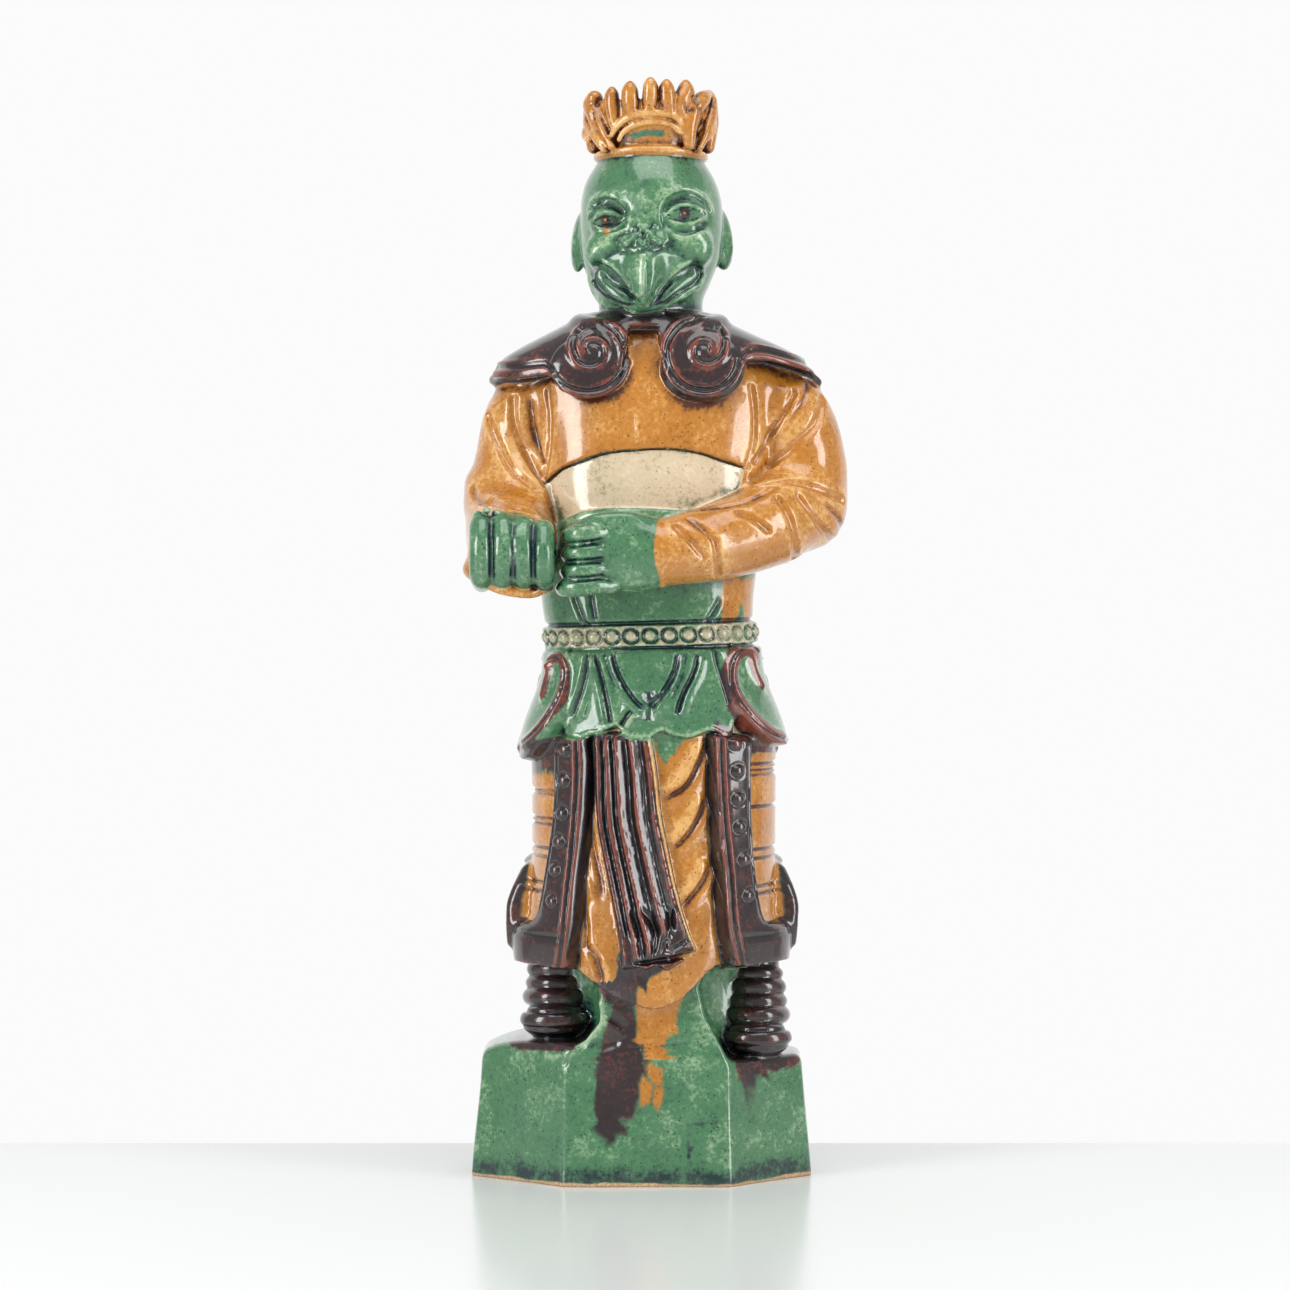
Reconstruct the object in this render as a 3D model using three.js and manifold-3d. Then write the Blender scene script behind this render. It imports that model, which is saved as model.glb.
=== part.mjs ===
// Glazed earthenware deity figure with a beaked face, standing on an eight-sided rock base.
// Figure and base are one fired piece. Millimetres, +Z up, the figure faces -Y.
// The origin is at the middle of the base's underside.
import * as THREE from 'three';
import { LoftGeometry } from 'three/addons/geometries/LoftGeometry.js';
import { mergeVertices } from 'three/addons/utils/BufferGeometryUtils.js';
import Module from 'manifold-3d';

const wasm = await Module();
wasm.setup();
const { abs, asin, cos, hypot, max, min, PI, sign, sin, sqrt } = Math;
const { degToRad, lerp, smoothstep } = THREE.MathUtils;
const at = (x, y, z) => new THREE.Vector3(x, y, z);
const steps = (count, make) => Array.from({ length: count }, (_, i) => make(i));

// Driving dimensions
const figureHeight = 540;
const axisX = 4.6; // the figure stands a little to its left of the base's middle
const base = { halfWidth: 84, front: 54, sideFace: 18, left: -37, right: 44, blockTop: 64, moundTop: 112 };
const hem = { middle: 89, rise: 17 };
const belt = { low: 262.5, high: 273.5, proud: 3.6, beads: 22 };
const tasset = { top: 214, bottom: 108, proud: 6.5, borderShare: 0.17, studs: 6, studRadius: 3.2 };
const collarFoot = 389;
const head = { x: 4.6, y: -2, turn: -8, eyeZ: 473 };
const crown = { foot: 504, bandTop: 527, petals: 14, petalFoot: 23.5, petalTip: 30, bluntEnd: 1.02 };

// Cross-sections from the hem to the neck: height, half width, half depth, middle x, middle y, squareness
const bodyRows = [
  [84, 40, 47, 5, -8, 2.2],
  [110, 50, 50, 5, -4, 2.3],
  [160, 52, 46, 6, -1, 2.4],
  [215, 54, 44, 6, 0, 2.4],
  [262, 50, 40, 5, 0, 2.3],
  [283, 51, 38, 3, 0, 2.3],
  [310, 53, 40, 4, 0, 2.4],
  [345, 57, 41, 5, -1, 2.4],
  [375, 59, 38, 6, 0, 2.4],
  [396, 59, 33, 6, 0, 2.3],
  [412, 46, 29, 5, 0, 2.2],
  [424, 30, 27, 4.6, 0, 2],
  [430, 25, 25, 4.6, 0, 2],
];
const collarRows = [
  [collarFoot, 81, 38.5, 7, 0, 2.4],
  [392, 83, 41, 7, 0, 2.4],
  [400, 78.5, 39.5, 5.5, 0, 2.4],
  [406, 74, 38, 5.5, 0, 2.3],
  [412, 64, 36.5, 5, 0, 2.2],
  [418, 51.5, 34.5, 4, 0, 2.1],
  [424, 39, 31.5, 3.5, 0, 2],
  [428, 30, 28, 4, 0, 2],
];
const headRows = [
  [420, 26.5, 26, 0, 0, 2],
  [430, 25.4, 26, 0, 0, 2],
  [436, 26, 28.5, 0, -1, 2],
  [441, 28.6, 31, 0, -2, 2],
  [447, 31, 33.5, 0, -2, 2],
  [454, 33.4, 35, 0, -2, 2.1],
  [462, 34.5, 36, 0, -1, 2.1],
  [475, 34.6, 36, 0, 0, 2.1],
  [486, 33.8, 35, 0, 0, 2.1],
  [494, 31.6, 32.5, 0, 0, 2],
  [500, 28.2, 29, 0, 0, 2],
  [506, 23.5, 24, 0, 0, 2],
  [510, 17, 18, 0, 0, 2],
];
const bootRows = [
  [66, 14.5, 26, 0, -9, 2.5],
  [76, 15, 27, 0, -9, 2.5],
  [84, 13.5, 24, 0, -7, 2.4],
  [92, 12, 18, 0, -2, 2.2],
  [98, 14, 17, 0, 0, 2.2],
  [103, 13, 16, 0, 0, 2.2],
  [114, 14, 17, 0, 0, 2.2],
];

// A solid from a closed geometry.
function solid(geometry) {
  const bare = new THREE.BufferGeometry().copy(geometry);
  bare.deleteAttribute('normal');
  bare.deleteAttribute('uv');
  const merged = mergeVertices(bare, 1e-4);
  return new wasm.Manifold(
    new wasm.Mesh({
      numProp: 3,
      vertProperties: merged.attributes.position.array,
      triVerts: new Uint32Array(merged.index.array),
    }),
  );
}

// The middle of a ring, and the area vector that it winds round.
const middle = (ring) => ring.reduce((sum, p) => sum.add(p), at(0, 0, 0)).divideScalar(ring.length);
const areaVector = (ring) =>
  ring.reduce((sum, p, i) => sum.add(p.clone().cross(ring[(i + 1) % ring.length])), at(0, 0, 0));

// A closed skin over a stack of rings with equally many points. Rings that wind the wrong way are turned round.
function skin(rings) {
  const swept = rings
    .slice(1)
    .reduce((sum, ring, i) => sum + areaVector(rings[i]).dot(middle(ring).sub(middle(rings[i]))), 0);
  const sections = swept > 0 ? rings : rings.map((ring) => ring.toReversed());
  return solid(new LoftGeometry(sections, { closed: true, capStart: true, capEnd: true }));
}

// Smooth values between rows whose first number is the height.
function track(rows) {
  const heights = rows.map((row) => row[0]);
  const values = rows.flatMap((row) => row.slice(1));
  const curve = new THREE.CubicInterpolant(heights, values, rows[0].length - 1);
  return (z) => [...curve.evaluate(z)];
}

// A point on a rounded cross-section. Turn 0 faces -Y and a quarter turn faces +X.
function sectionPoint([halfWidth, halfDepth, middleX, middleY, power], turn, z, lift = 0) {
  const s = sin(turn);
  const c = -cos(turn);
  const x = sign(s) * abs(s) ** (2 / power) * halfWidth;
  const y = sign(c) * abs(c) ** (2 / power) * halfDepth;
  const outX = x / halfWidth ** 2;
  const outY = y / halfDepth ** 2;
  const scale = lift / hypot(outX, outY);
  return at(middleX + x + outX * scale, middleY + y + outY * scale, z);
}

const bodySection = track(bodyRows);
const onBody = (turn, z, lift) => sectionPoint(bodySection(z), turn, z, lift);

// The turn at which the body's front is at a given x.
function turnAt(x, z) {
  const [halfWidth, , middleX, , power] = bodySection(z);
  const share = max(-0.999, min(0.999, (x - middleX) / halfWidth));
  return sign(share) * asin(abs(share) ** (power / 2));
}
const onFront = (x, z, lift) => onBody(turnAt(x, z), z, lift);

// Rings of one set of rows, at the given heights.
function stack(rows, heights, around, lift = () => 0) {
  const section = track(rows);
  return heights.map((z) =>
    steps(around, (i) => {
      const turn = (i / around) * 2 * PI;
      return sectionPoint(section(z), turn, z, lift(turn, z));
    }),
  );
}

// A limb of changing thickness along a smooth line. Flatten squeezes its section along the line's own up.
function limb(points, radii, { sides = 8, rows = 8, flatten = 1, fold = () => 0 } = {}) {
  const line = new THREE.CatmullRomCurve3(points);
  const frames = line.computeFrenetFrames(rows, false);
  const thickness = track(radii.map((radius, i) => [i / (radii.length - 1), radius]));
  return skin(
    steps(rows + 1, (row) => {
      const along = row / rows;
      const centre = line.getPointAt(along);
      return steps(sides, (i) => {
        const turn = (i / sides) * 2 * PI;
        const radius = thickness(along)[0] + fold(turn, along);
        return centre
          .clone()
          .addScaledVector(frames.normals[row], cos(turn) * radius * flatten)
          .addScaledVector(frames.binormals[row], sin(turn) * radius);
      });
    }),
  );
}

// A panel that lies on the body. u runs from edge to edge and v from top to bottom, both 0 to 1.
function panel({ columns, rows, place, lift, sink = 3 }) {
  return skin(
    steps(rows + 1, (row) => {
      const v = row / rows;
      const front = steps(columns + 1, (i) => {
        const { turn, z } = place(i / columns, v);
        return onBody(turn, z, lift(i / columns, v));
      });
      const back = steps(columns + 1, (i) => {
        const { turn, z } = place(1 - i / columns, v);
        return onBody(turn, z, -sink);
      });
      return [...front, ...back];
    }),
  );
}

const ball = (centre, size, across = 8, high = 5) =>
  solid(
    new THREE.SphereGeometry(1, across, high).scale(size.x, size.y, size.z).translate(centre.x, centre.y, centre.z),
  );

// A low pellet pressed on to the body.
function pellet(turn, z, radius, lift, sides = 6) {
  const inside = onBody(turn, z, 0);
  const outward = onBody(turn, z, 1).sub(inside).normalize();
  const side = at(-outward.y, outward.x, 0);
  const up = at(0, 0, 1);
  const ring = (size, height) =>
    steps(sides, (i) => {
      const angle = (i / sides) * 2 * PI;
      return inside
        .clone()
        .addScaledVector(outward, height)
        .addScaledVector(side, cos(angle) * size)
        .addScaledVector(up, sin(angle) * size);
    });
  return skin([ring(radius, -2), ring(radius * 0.85, lift)]);
}

// The base's outline, drawn in on all sides.
function baseRing(z, inset) {
  const { halfWidth, front, sideFace, left, right } = base;
  const corner = (x, y) => at(x * (1 - inset / halfWidth), y * (1 - inset / front), z);
  return [
    corner(left, -front),
    corner(right, -front),
    corner(halfWidth, -sideFace),
    corner(halfWidth, sideFace),
    corner(right, front),
    corner(left, front),
    corner(-halfWidth, sideFace),
    corner(-halfWidth, -sideFace),
  ];
}

function rockBase() {
  const block = skin([
    baseRing(0, 1),
    baseRing(3, 0),
    baseRing(base.blockTop - 6, 4),
    baseRing(base.blockTop, 6),
    baseRing(base.blockTop + 5, 14),
    baseRing(base.blockTop + 7.3, 30),
  ]);
  const moundRing = (z, left, right, front, back) => [
    at(left, front, z),
    at(right, front, z),
    at(right, back, z),
    at(left, back, z),
  ];
  const mound = skin([
    moundRing(40, -34, 41, -48, 45),
    moundRing(base.blockTop - 2, -34, 41, -50, 45),
    moundRing(94, -24, 31, -47, 38),
    moundRing(base.moundTop, -18, 26, -44, 34),
  ]);
  const rise = skin([
    moundRing(40, -44, 53, -6, 40),
    moundRing(86, -42, 52, -6, 36),
    moundRing(base.moundTop - 4, -34, 44, -2, 32),
  ]);
  const ledge = solid(new THREE.OctahedronGeometry(11).scale(1.2, 0.9, 0.8).translate(-25, -43, 71.5));
  return [block, mound, rise, ledge];
}

function boot(x, turn) {
  const rings = stack(bootRows, bootRows.map((row) => row[0]), 8);
  const place = new THREE.Matrix4().makeRotationZ(turn).setPosition(x, 0, 0);
  return skin(rings.map((ring) => ring.map((p) => p.applyMatrix4(place))));
}

// Robe and chest in one skin. The hem is lowest in front and behind, and the folds die out upwards.
function body() {
  const around = 32;
  const hemAt = (turn) => hem.middle + hem.rise * sin(turn) ** 2;
  const ring = (place) => steps(around, (i) => place((i / around) * 2 * PI));
  const robe = [0, 0.2, 0.55, 0.97].map((share) =>
    ring((turn) => onBody(turn, lerp(hemAt(turn), belt.low, share), cos(turn * 8) * 2 * (1 - share))),
  );
  const chest = [300, 345, 385, 408, 427].map((z) => ring((turn) => onBody(turn, z)));
  return skin([...robe, ...chest]);
}

// The belt, a flat band that swells into a bead at every second facet.
function beadedBelt() {
  const around = 2 * belt.beads;
  const turnOf = (i) => (i / around) * 2 * PI;
  const midHeight = (belt.low + belt.high) / 2;
  const flat = (z, lift) => steps(around, (i) => onBody(turnOf(i), z, lift));
  const beads = steps(around, (i) => onBody(turnOf(i), midHeight, belt.proud + (i % 2 ? 2.2 : -0.4)));
  return skin([flat(belt.low, belt.proud), beads, flat(belt.high, belt.proud)]);
}

// Side skirts: a studded border in front, a plain strip round the hip, and a border along the bottom.
function tassetPlace(side) {
  const rear = degToRad(128);
  return (u, v) => {
    const z = lerp(tasset.top, tasset.bottom, v);
    const frontX = axisX + side * (35 + v * 1.5) + (side > 0 ? 0 : 0.5);
    const front = abs(turnAt(frontX, z));
    return { turn: side * lerp(front, rear, u), z };
  };
}

function tassets(side) {
  const place = tassetPlace(side);
  const skirt = panel({
    columns: 8,
    rows: 5,
    place,
    lift: (u, v) => {
      const border = u < tasset.borderShare ? 2.4 : 0;
      const foot = v > 0.84 ? 3 : 0;
      return tasset.proud + v * 2.5 + max(border, foot);
    },
  });
  const studs = steps(tasset.studs, (i) => {
    const v = 0.06 + (i / tasset.studs) * 0.88;
    const { turn, z } = place(tasset.borderShare * 0.5, v);
    return pellet(turn, z, tasset.studRadius, tasset.proud + 3.4 + v * 2.5, 5);
  });
  return [skirt, ...studs];
}

// The back skirt, which flares out behind the side skirts.
function backSkirt() {
  const reach = degToRad(100);
  return panel({
    columns: 14,
    rows: 3,
    place: (u, v) => ({ turn: PI + lerp(reach, -reach, u) * 0.86, z: lerp(158, 108, v) }),
    lift: (u, v) => 7 + 9 * smoothstep(v, 0, 0.6) + 1.2 * cos(u * 24),
  });
}

// Cloud-shaped flaps on the hips, with a scroll along the front edge.
function hipFlap(side) {
  const top = 262;
  const tip = 207;
  const flap = panel({
    columns: 6,
    rows: 5,
    place: (u, v) => {
      const z = lerp(top, tip, v);
      const frontX = 35 - 6 * sin(v * PI) + 15 * v ** 3;
      const front = abs(turnAt(axisX + side * frontX, z));
      return { turn: side * lerp(front, degToRad(115 - 15 * v), u), z };
    },
    lift: (u, v) => 4 + 9 * v,
  });
  const eye = { turn: 68, z: 248 };
  const scroll = steps(12, (i) => {
    const t = i / 11;
    const turn = degToRad(eye.turn + lerp(19, 4, t) * cos(3.5 * t * PI + 2.2));
    const z = eye.z + lerp(20, 3, t) * sin(3.5 * t * PI + 2.2) * -1;
    return onBody(side * turn, z, 5 + (top - z) * 0.12);
  });
  const edge = [
    onBody(side * degToRad(84), tip + 2, 14),
    onBody(side * degToRad(60), tip + 12, 11),
    onBody(side * degToRad(44), tip + 26, 8),
  ];
  return [flap, limb([...edge, ...scroll], [3.4, 3.2, 2.8, 2.4, 2], { sides: 4, rows: 13 })];
}

// The green apron, gathered under the belt and falling in folds to a scalloped edge.
const apron = () =>
  panel({
    columns: 18,
    rows: 2,
    place: (u, v) => {
      const z = lerp(belt.low + 2, 220 + 2.5 * cos(u * 28), v);
      return { turn: turnAt(axisX + lerp(-40, 38, u), z), z };
    },
    lift: (u, v) => 1.5 + 4.5 * v + (0.8 + 1.4 * v) * cos(u * 28),
  });

// The ribbed sash that hangs from the apron and drifts to the figure's left.
const sash = () =>
  panel({
    columns: 10,
    rows: 3,
    place: (u, v) => {
      const z = lerp(224, 109 + 9 * u, v);
      const left = lerp(-25, -12, v);
      const right = lerp(5, 26, v ** 1.3);
      return { turn: turnAt(lerp(left, right, u), z), z };
    },
    lift: (u, v) => 5.5 + 1.8 * cos(u * 5 * 2 * PI) - 1.5 * v,
  });

// Folds that swing across the robe from the figure's left hip.
const robeFolds = () =>
  steps(3, (i) => {
    const high = 196 - i * 30;
    const spots = [
      [36, high + 4],
      [24, high - 14],
      [14, high - 22],
    ].map(([x, z]) => onFront(x, z, 0.8));
    return limb(spots, [2.2, 2.4, 1], { sides: 4, rows: 4 });
  });

// Shoulder cape with the gap over the chest, and its two scrolls.
function collar() {
  const cape = skin(stack(collarRows, [collarFoot, 392, 401, 410, 419, 428], 22));
  const gap = solid(new THREE.BoxGeometry(17, 60, 60).translate(axisX - 1, -45, collarFoot + 7));
  const scrolls = [
    { x: -25, z: 406, radius: 19.5, side: 1 },
    { x: 34, z: 408, radius: 20.5, side: -1 },
  ].flatMap(({ x, z, radius, side }) => {
    const lean = degToRad(-14);
    const place = new THREE.Matrix4().makeRotationX(lean).setPosition(x, -35, z);
    const disc = solid(
      new THREE.CylinderGeometry(radius, radius - 2, 9, 14).applyMatrix4(place),
    );
    const turns = 1.9;
    const spiral = steps(22, (i) => {
      const t = i / 21;
      const angle = side * (0.6 + t * turns * 2 * PI);
      const reach = lerp(radius - 1.8, 3, t);
      return at(sin(angle) * reach, -4.6 - 1.5 * t, cos(angle) * reach).applyMatrix4(place);
    });
    return [disc, limb(spiral, [2, 2.2, 2.4], { sides: 4, rows: 14 })];
  });
  return [cape.subtract(gap), ...scrolls];
}

// Folds that wind round a sleeve.
const sleeveFold = (twist, count) => (turn, along) => 2.2 * cos(turn * 2 + twist * along * count * PI);

// Arm whose forearm lies across the belly, and its hand seen from the back.
function leftArm() {
  const sleeve = limb(
    [
      at(50, 0, 398),
      at(72, 2, 378),
      at(78, 1, 352),
      at(76, -8, 332),
      at(52, -34, 320),
      at(30, -50, 312),
      at(12, -57, 309),
    ],
    [17, 24, 24, 25, 21, 18.5, 18],
    { sides: 11, rows: 10, fold: sleeveFold(1, 6) },
  );
  const palm = limb(
    [at(16, -58, 310), at(2, -62, 310), at(-14, -63, 309), at(-24, -59, 308)],
    [15, 19, 19, 12],
    { sides: 8, rows: 4, flatten: 0.62 },
  );
  const fingers = steps(3, (i) => {
    const z = 318 - i * 10;
    return limb(
      [at(-16, -68, z), at(-28, -70, z - 1), at(-35, -66, z - 2), at(-34, -58, z - 2)],
      [4, 5.2, 5.4, 3.5],
      { sides: 5, rows: 3 },
    );
  });
  const thumb = limb([at(4, -60, 324), at(-12, -62, 328), at(-26, -58, 324)], [4, 5, 4], { sides: 6, rows: 4 });
  return [sleeve, palm, ...fingers, thumb];
}

// Arm whose fist points forward.
function rightArm() {
  const sleeve = limb(
    [at(-40, 0, 398), at(-56, 2, 378), at(-62, 2, 352), at(-64, -4, 330), at(-64, -26, 316), at(-63.5, -50, 311)],
    [17, 22, 22, 23, 22, 21.5],
    { sides: 11, rows: 9, fold: sleeveFold(-1, 5) },
  );
  const palm = limb([at(-63, -44, 311), at(-63.5, -58, 311), at(-63.5, -70, 310)], [19, 18, 16], {
    sides: 10,
    rows: 3,
  });
  const fingers = steps(4, (i) => {
    const x = -78.3 + i * 9.9;
    return limb(
      [at(x, -56, 324), at(x, -70, 324), at(x, -75, 312), at(x, -73, 298), at(x, -60, 295)],
      [4.5, 5.2, 5.6, 5.4, 4.5],
      { sides: 5, rows: 5 },
    );
  });
  return [sleeve, palm, ...fingers];
}

// Head with a beaked face: heavy brows, round eyes, and a beak whose gape turns up at both corners.
function headAndFace() {
  const skull = skin(
    stack(headRows, [422, 430, 438, 446, 456, 466, 478, 490, 499, 506], 18, (turn, z) => {
      const front = smoothstep(cos(turn), 0.55, 1);
      const muzzle = 5 * front * smoothstep(z, 432, 446) * (1 - smoothstep(z, 456, 470));
      return muzzle;
    }),
  );
  const beak = skin(
    [
      [468, 4, 3, -33],
      [462, 8, 5, -36],
      [454, 10, 7, -38.5],
      [446, 9, 8, -40],
      [439, 6, 7, -40],
      [433, 3, 4, -39],
      [430.5, 1, 1.5, -38.5],
    ].map(([z, halfWidth, halfDepth, y]) =>
      steps(8, (i) => {
        const angle = (i / 8) * 2 * PI;
        return at(sin(angle) * halfWidth, y - cos(angle) * halfDepth, z);
      }),
    ),
  );
  const onFace = (x, z, lift) => {
    const [halfWidth, halfDepth, , middleY] = track(headRows)(z);
    const y = middleY - halfDepth * sqrt(max(0, 1 - (x / halfWidth) ** 2));
    return at(x, y - lift, z);
  };
  const eachSide = (make) => [make(-1), make(1)];
  const eyes = eachSide((side) => ball(onFace(side * 16.5, head.eyeZ, -1.5), at(8, 5, 5.2), 8, 5));
  const brows = eachSide((side) =>
    limb(
      [onFace(side * 7, 473, 1), onFace(side * 11, 483, 1.5), onFace(side * 19, 486, 1), onFace(side * 27, 479, 0)],
      [1, 2.2, 1.8, 1],
      { sides: 4, rows: 5 },
    ),
  );
  const nostrils = eachSide((side) => ball(onFace(side * 4.5, 465, 4.5), at(4.2, 3.4, 3), 7, 4));
  const gape = eachSide((side) =>
    limb(
      [
        onFace(side * 2, 433, 6),
        onFace(side * 12, 438, 4),
        onFace(side * 22, 446, 1),
        onFace(side * 24, 452, 0.5),
        onFace(side * 18, 454, 2.5),
        onFace(side * 10, 445, 5.5),
      ],
      [1.2, 1.7, 1.8, 1.7, 1.5, 1],
      { sides: 4, rows: 6 },
    ),
  );
  const ears = eachSide((side) => ball(at(side * 35.5, 4, 464), at(3.6, 7, 14.5), 6, 4));
  const turned = new THREE.Matrix4()
    .makeRotationZ(degToRad(head.turn))
    .setPosition(head.x, head.y, 0)
    .toArray();
  return [skull, beak, ...eyes, ...brows, ...nostrils, ...gape, ...ears].map((piece) => piece.transform(turned));
}

// Crown of upright petals round a low band, with an arched band in front and a larger leaf on each side.
function crownPieces() {
  const ring = (z, radius) =>
    steps(16, (i) => {
      const turn = (i / 16) * 2 * PI;
      return at(head.x + sin(turn) * radius, head.y - cos(turn) * radius, z);
    });
  const core = skin([
    ring(crown.foot - 4, 22),
    ring(crown.foot, 25.5),
    ring(crown.foot + 3, 25.5),
    ring(crown.foot + 5, 23.5),
    ring(crown.bandTop, 27),
  ]);
  const petals = steps(crown.petals, (i) => {
    const turn = (i / crown.petals) * 2 * PI;
    const sideways = abs(sin(turn)) ** 4;
    const tip = figureHeight - crown.bluntEnd - 2.5 * (1 - cos(turn));
    const spot = (radius, z) => at(head.x + sin(turn) * radius, head.y - cos(turn) * radius, z);
    const broad = 1 + 0.25 * sideways;
    return limb(
      [
        spot(crown.petalFoot - 2, crown.foot + 8),
        spot(crown.petalFoot + 2, crown.foot + 19),
        spot(crown.petalTip - 1 + sideways, tip - 7),
        spot(crown.petalTip - 4, tip),
      ],
      [4.4 * broad, 6.6 * broad, 6 * broad, 2.6],
      { sides: 4, rows: 3 },
    );
  });
  const arch = { radius: 27.1, reach: 0.85, rise: 5.5, top: crown.foot + 16 };
  const archLine = steps(7, (i) => {
    const sideways = lerp(-1, 1, i / 6);
    const turn = sideways * arch.reach;
    const z = arch.top - arch.rise * sideways ** 2;
    return at(head.x + sin(turn) * arch.radius, head.y - cos(turn) * arch.radius, z);
  });
  return [core, ...petals, limb(archLine, [1.8, 2.6, 1.8], { sides: 4, rows: 6 })];
}

const figure = [
  ...rockBase(),
  boot(-45, degToRad(-8)),
  boot(56, degToRad(4)),
  body(),
  beadedBelt(),
  ...tassets(-1),
  ...tassets(1),
  backSkirt(),
  ...hipFlap(-1),
  ...hipFlap(1),
  apron(),
  sash(),
  ...robeFolds(),
  ...collar(),
  ...rightArm(),
  ...leftArm(),
  ...headAndFace(),
  ...crownPieces(),
].reduce((whole, piece) => whole.add(piece));

const { vertProperties, triVerts } = figure.getMesh();
const geometry = new THREE.BufferGeometry();
geometry.setAttribute('position', new THREE.BufferAttribute(vertProperties, 3));
geometry.setIndex(new THREE.BufferAttribute(triVerts, 1));
geometry.computeVertexNormals();

const glaze = new THREE.MeshStandardMaterial({ color: '#5d7f4c', roughness: 0.18, metalness: 0, flatShading: true });
const mesh = new THREE.Mesh(geometry, glaze);
mesh.name = 'deity_figure';

const group = new THREE.Group();
group.add(mesh);
export default group;
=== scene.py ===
# A standing deity figure of earthenware under green, amber and brown glazes, with its rock base.
# The figure is modelled as one field of distances in millimetres, as a potter builds up clay and cuts
# into it, and the field is turned into one mesh.
import math

import bpy
import numpy as np
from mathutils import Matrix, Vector


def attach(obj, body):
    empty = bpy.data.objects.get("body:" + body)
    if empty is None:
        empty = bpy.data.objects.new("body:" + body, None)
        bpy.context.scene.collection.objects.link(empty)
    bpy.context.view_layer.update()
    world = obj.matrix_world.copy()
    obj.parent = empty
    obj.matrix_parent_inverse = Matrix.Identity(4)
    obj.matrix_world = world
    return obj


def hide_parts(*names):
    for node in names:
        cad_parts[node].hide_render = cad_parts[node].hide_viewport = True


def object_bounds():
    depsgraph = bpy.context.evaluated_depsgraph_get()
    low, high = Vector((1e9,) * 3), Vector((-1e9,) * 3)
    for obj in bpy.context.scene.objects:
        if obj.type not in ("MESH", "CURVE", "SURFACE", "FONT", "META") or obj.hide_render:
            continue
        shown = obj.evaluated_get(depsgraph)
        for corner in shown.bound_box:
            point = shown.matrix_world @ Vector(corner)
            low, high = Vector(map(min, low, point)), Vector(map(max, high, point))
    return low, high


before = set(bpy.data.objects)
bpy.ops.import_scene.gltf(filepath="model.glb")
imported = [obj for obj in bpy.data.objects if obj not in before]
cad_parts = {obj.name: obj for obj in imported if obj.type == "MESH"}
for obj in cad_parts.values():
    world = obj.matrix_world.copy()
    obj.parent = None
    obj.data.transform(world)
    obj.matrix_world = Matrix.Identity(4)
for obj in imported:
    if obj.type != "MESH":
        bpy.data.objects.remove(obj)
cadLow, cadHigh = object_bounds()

mm = 0.001  # the frame is in metres, the modelling in millimetres
axisX = 4.6  # the figure stands a little to its left of the base's middle

clay = {
    "voxel": 0.75,  # distance between two samples of the field
    "block": 8,  # samples along one side of a block
    "reach": 11.0,  # how far round a form its distance is worked out
    "faces": 196000,
    "margin": 9.0,  # room round the CAD box
}
glazes = ("amber", "brown", "cream")  # green is whatever these leave
# the weights of the three glazes, and how deep the place lies in a groove (above nought) or on a ridge
bare = {name: np.array([name == glaze for glaze in glazes] + [0], np.float32) for name in ("green",) + glazes}
bare["belt"] = np.array([0.0, 0.0, 0.54, 0.0], np.float32)
bare["ink"] = np.array([0.0, 1.0, 0.0, 1.0], np.float32)
# the fourth weight alone: it deepens the glaze colour, as pooled glaze and painted shade
bare["poolAndShade"] = np.array([0.0, 0.0, 0.0, 1.0], np.float32)
forms = []  # every lump of clay and every stroke of the tool, in the order of modelling


# Numbers and curves
def smoothStep(low, high, value):
    t = np.clip((value - low) / (high - low), 0, 1)
    return t * t * (3 - 2 * t)


def smoothMin(a, b, blend):
    share = np.clip(0.5 + 0.5 * (a - b) / blend, 0, 1)
    return a + (b - a) * share - blend * share * (1 - share)


def smoothMax(a, b, blend):
    return -smoothMin(-a, -b, blend)


def curve(points, count=6):
    # a smooth line through the points, with this many steps from one to the next
    points = np.array(points, float)
    ends = np.vstack([2 * points[0] - points[1], points, 2 * points[-1] - points[-2]])
    t = np.linspace(0, 1, count, endpoint=False)[:, None]
    runs = []
    for a, b, c, d in zip(ends[:-3], ends[1:-2], ends[2:-1], ends[3:]):
        bend = (2 * a - 5 * b + 4 * c - d) * t**2 + (3 * b - a - 3 * c + d) * t**3
        runs.append(b + 0.5 * ((c - a) * t + bend))
    return np.vstack(runs + [points[-1:]])


def spread(values, count):
    # the values stretched evenly over a number of points
    values = np.atleast_1d(np.array(values, float))
    return np.interp(np.linspace(0, 1, count), np.linspace(0, 1, len(values)), values)


def blockMiddle(x, y, z):
    return np.stack([(v.reshape(len(v), -1)[:, 0] + v.reshape(len(v), -1)[:, -1]) / 2 for v in (x, y, z)], 1)


# Forms: each gives a distance function and the box that it fills
def addForm(distance, low, high, blend=1.5, glaze="green", kind="lump", height=0.0, width=1.0):
    forms.append(
        {
            "distance": distance,
            "low": np.array(low, float),
            "high": np.array(high, float),
            "blend": blend,
            "glaze": glaze,
            "kind": kind,
            "height": height,
            "width": width,
        }
    )


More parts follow.
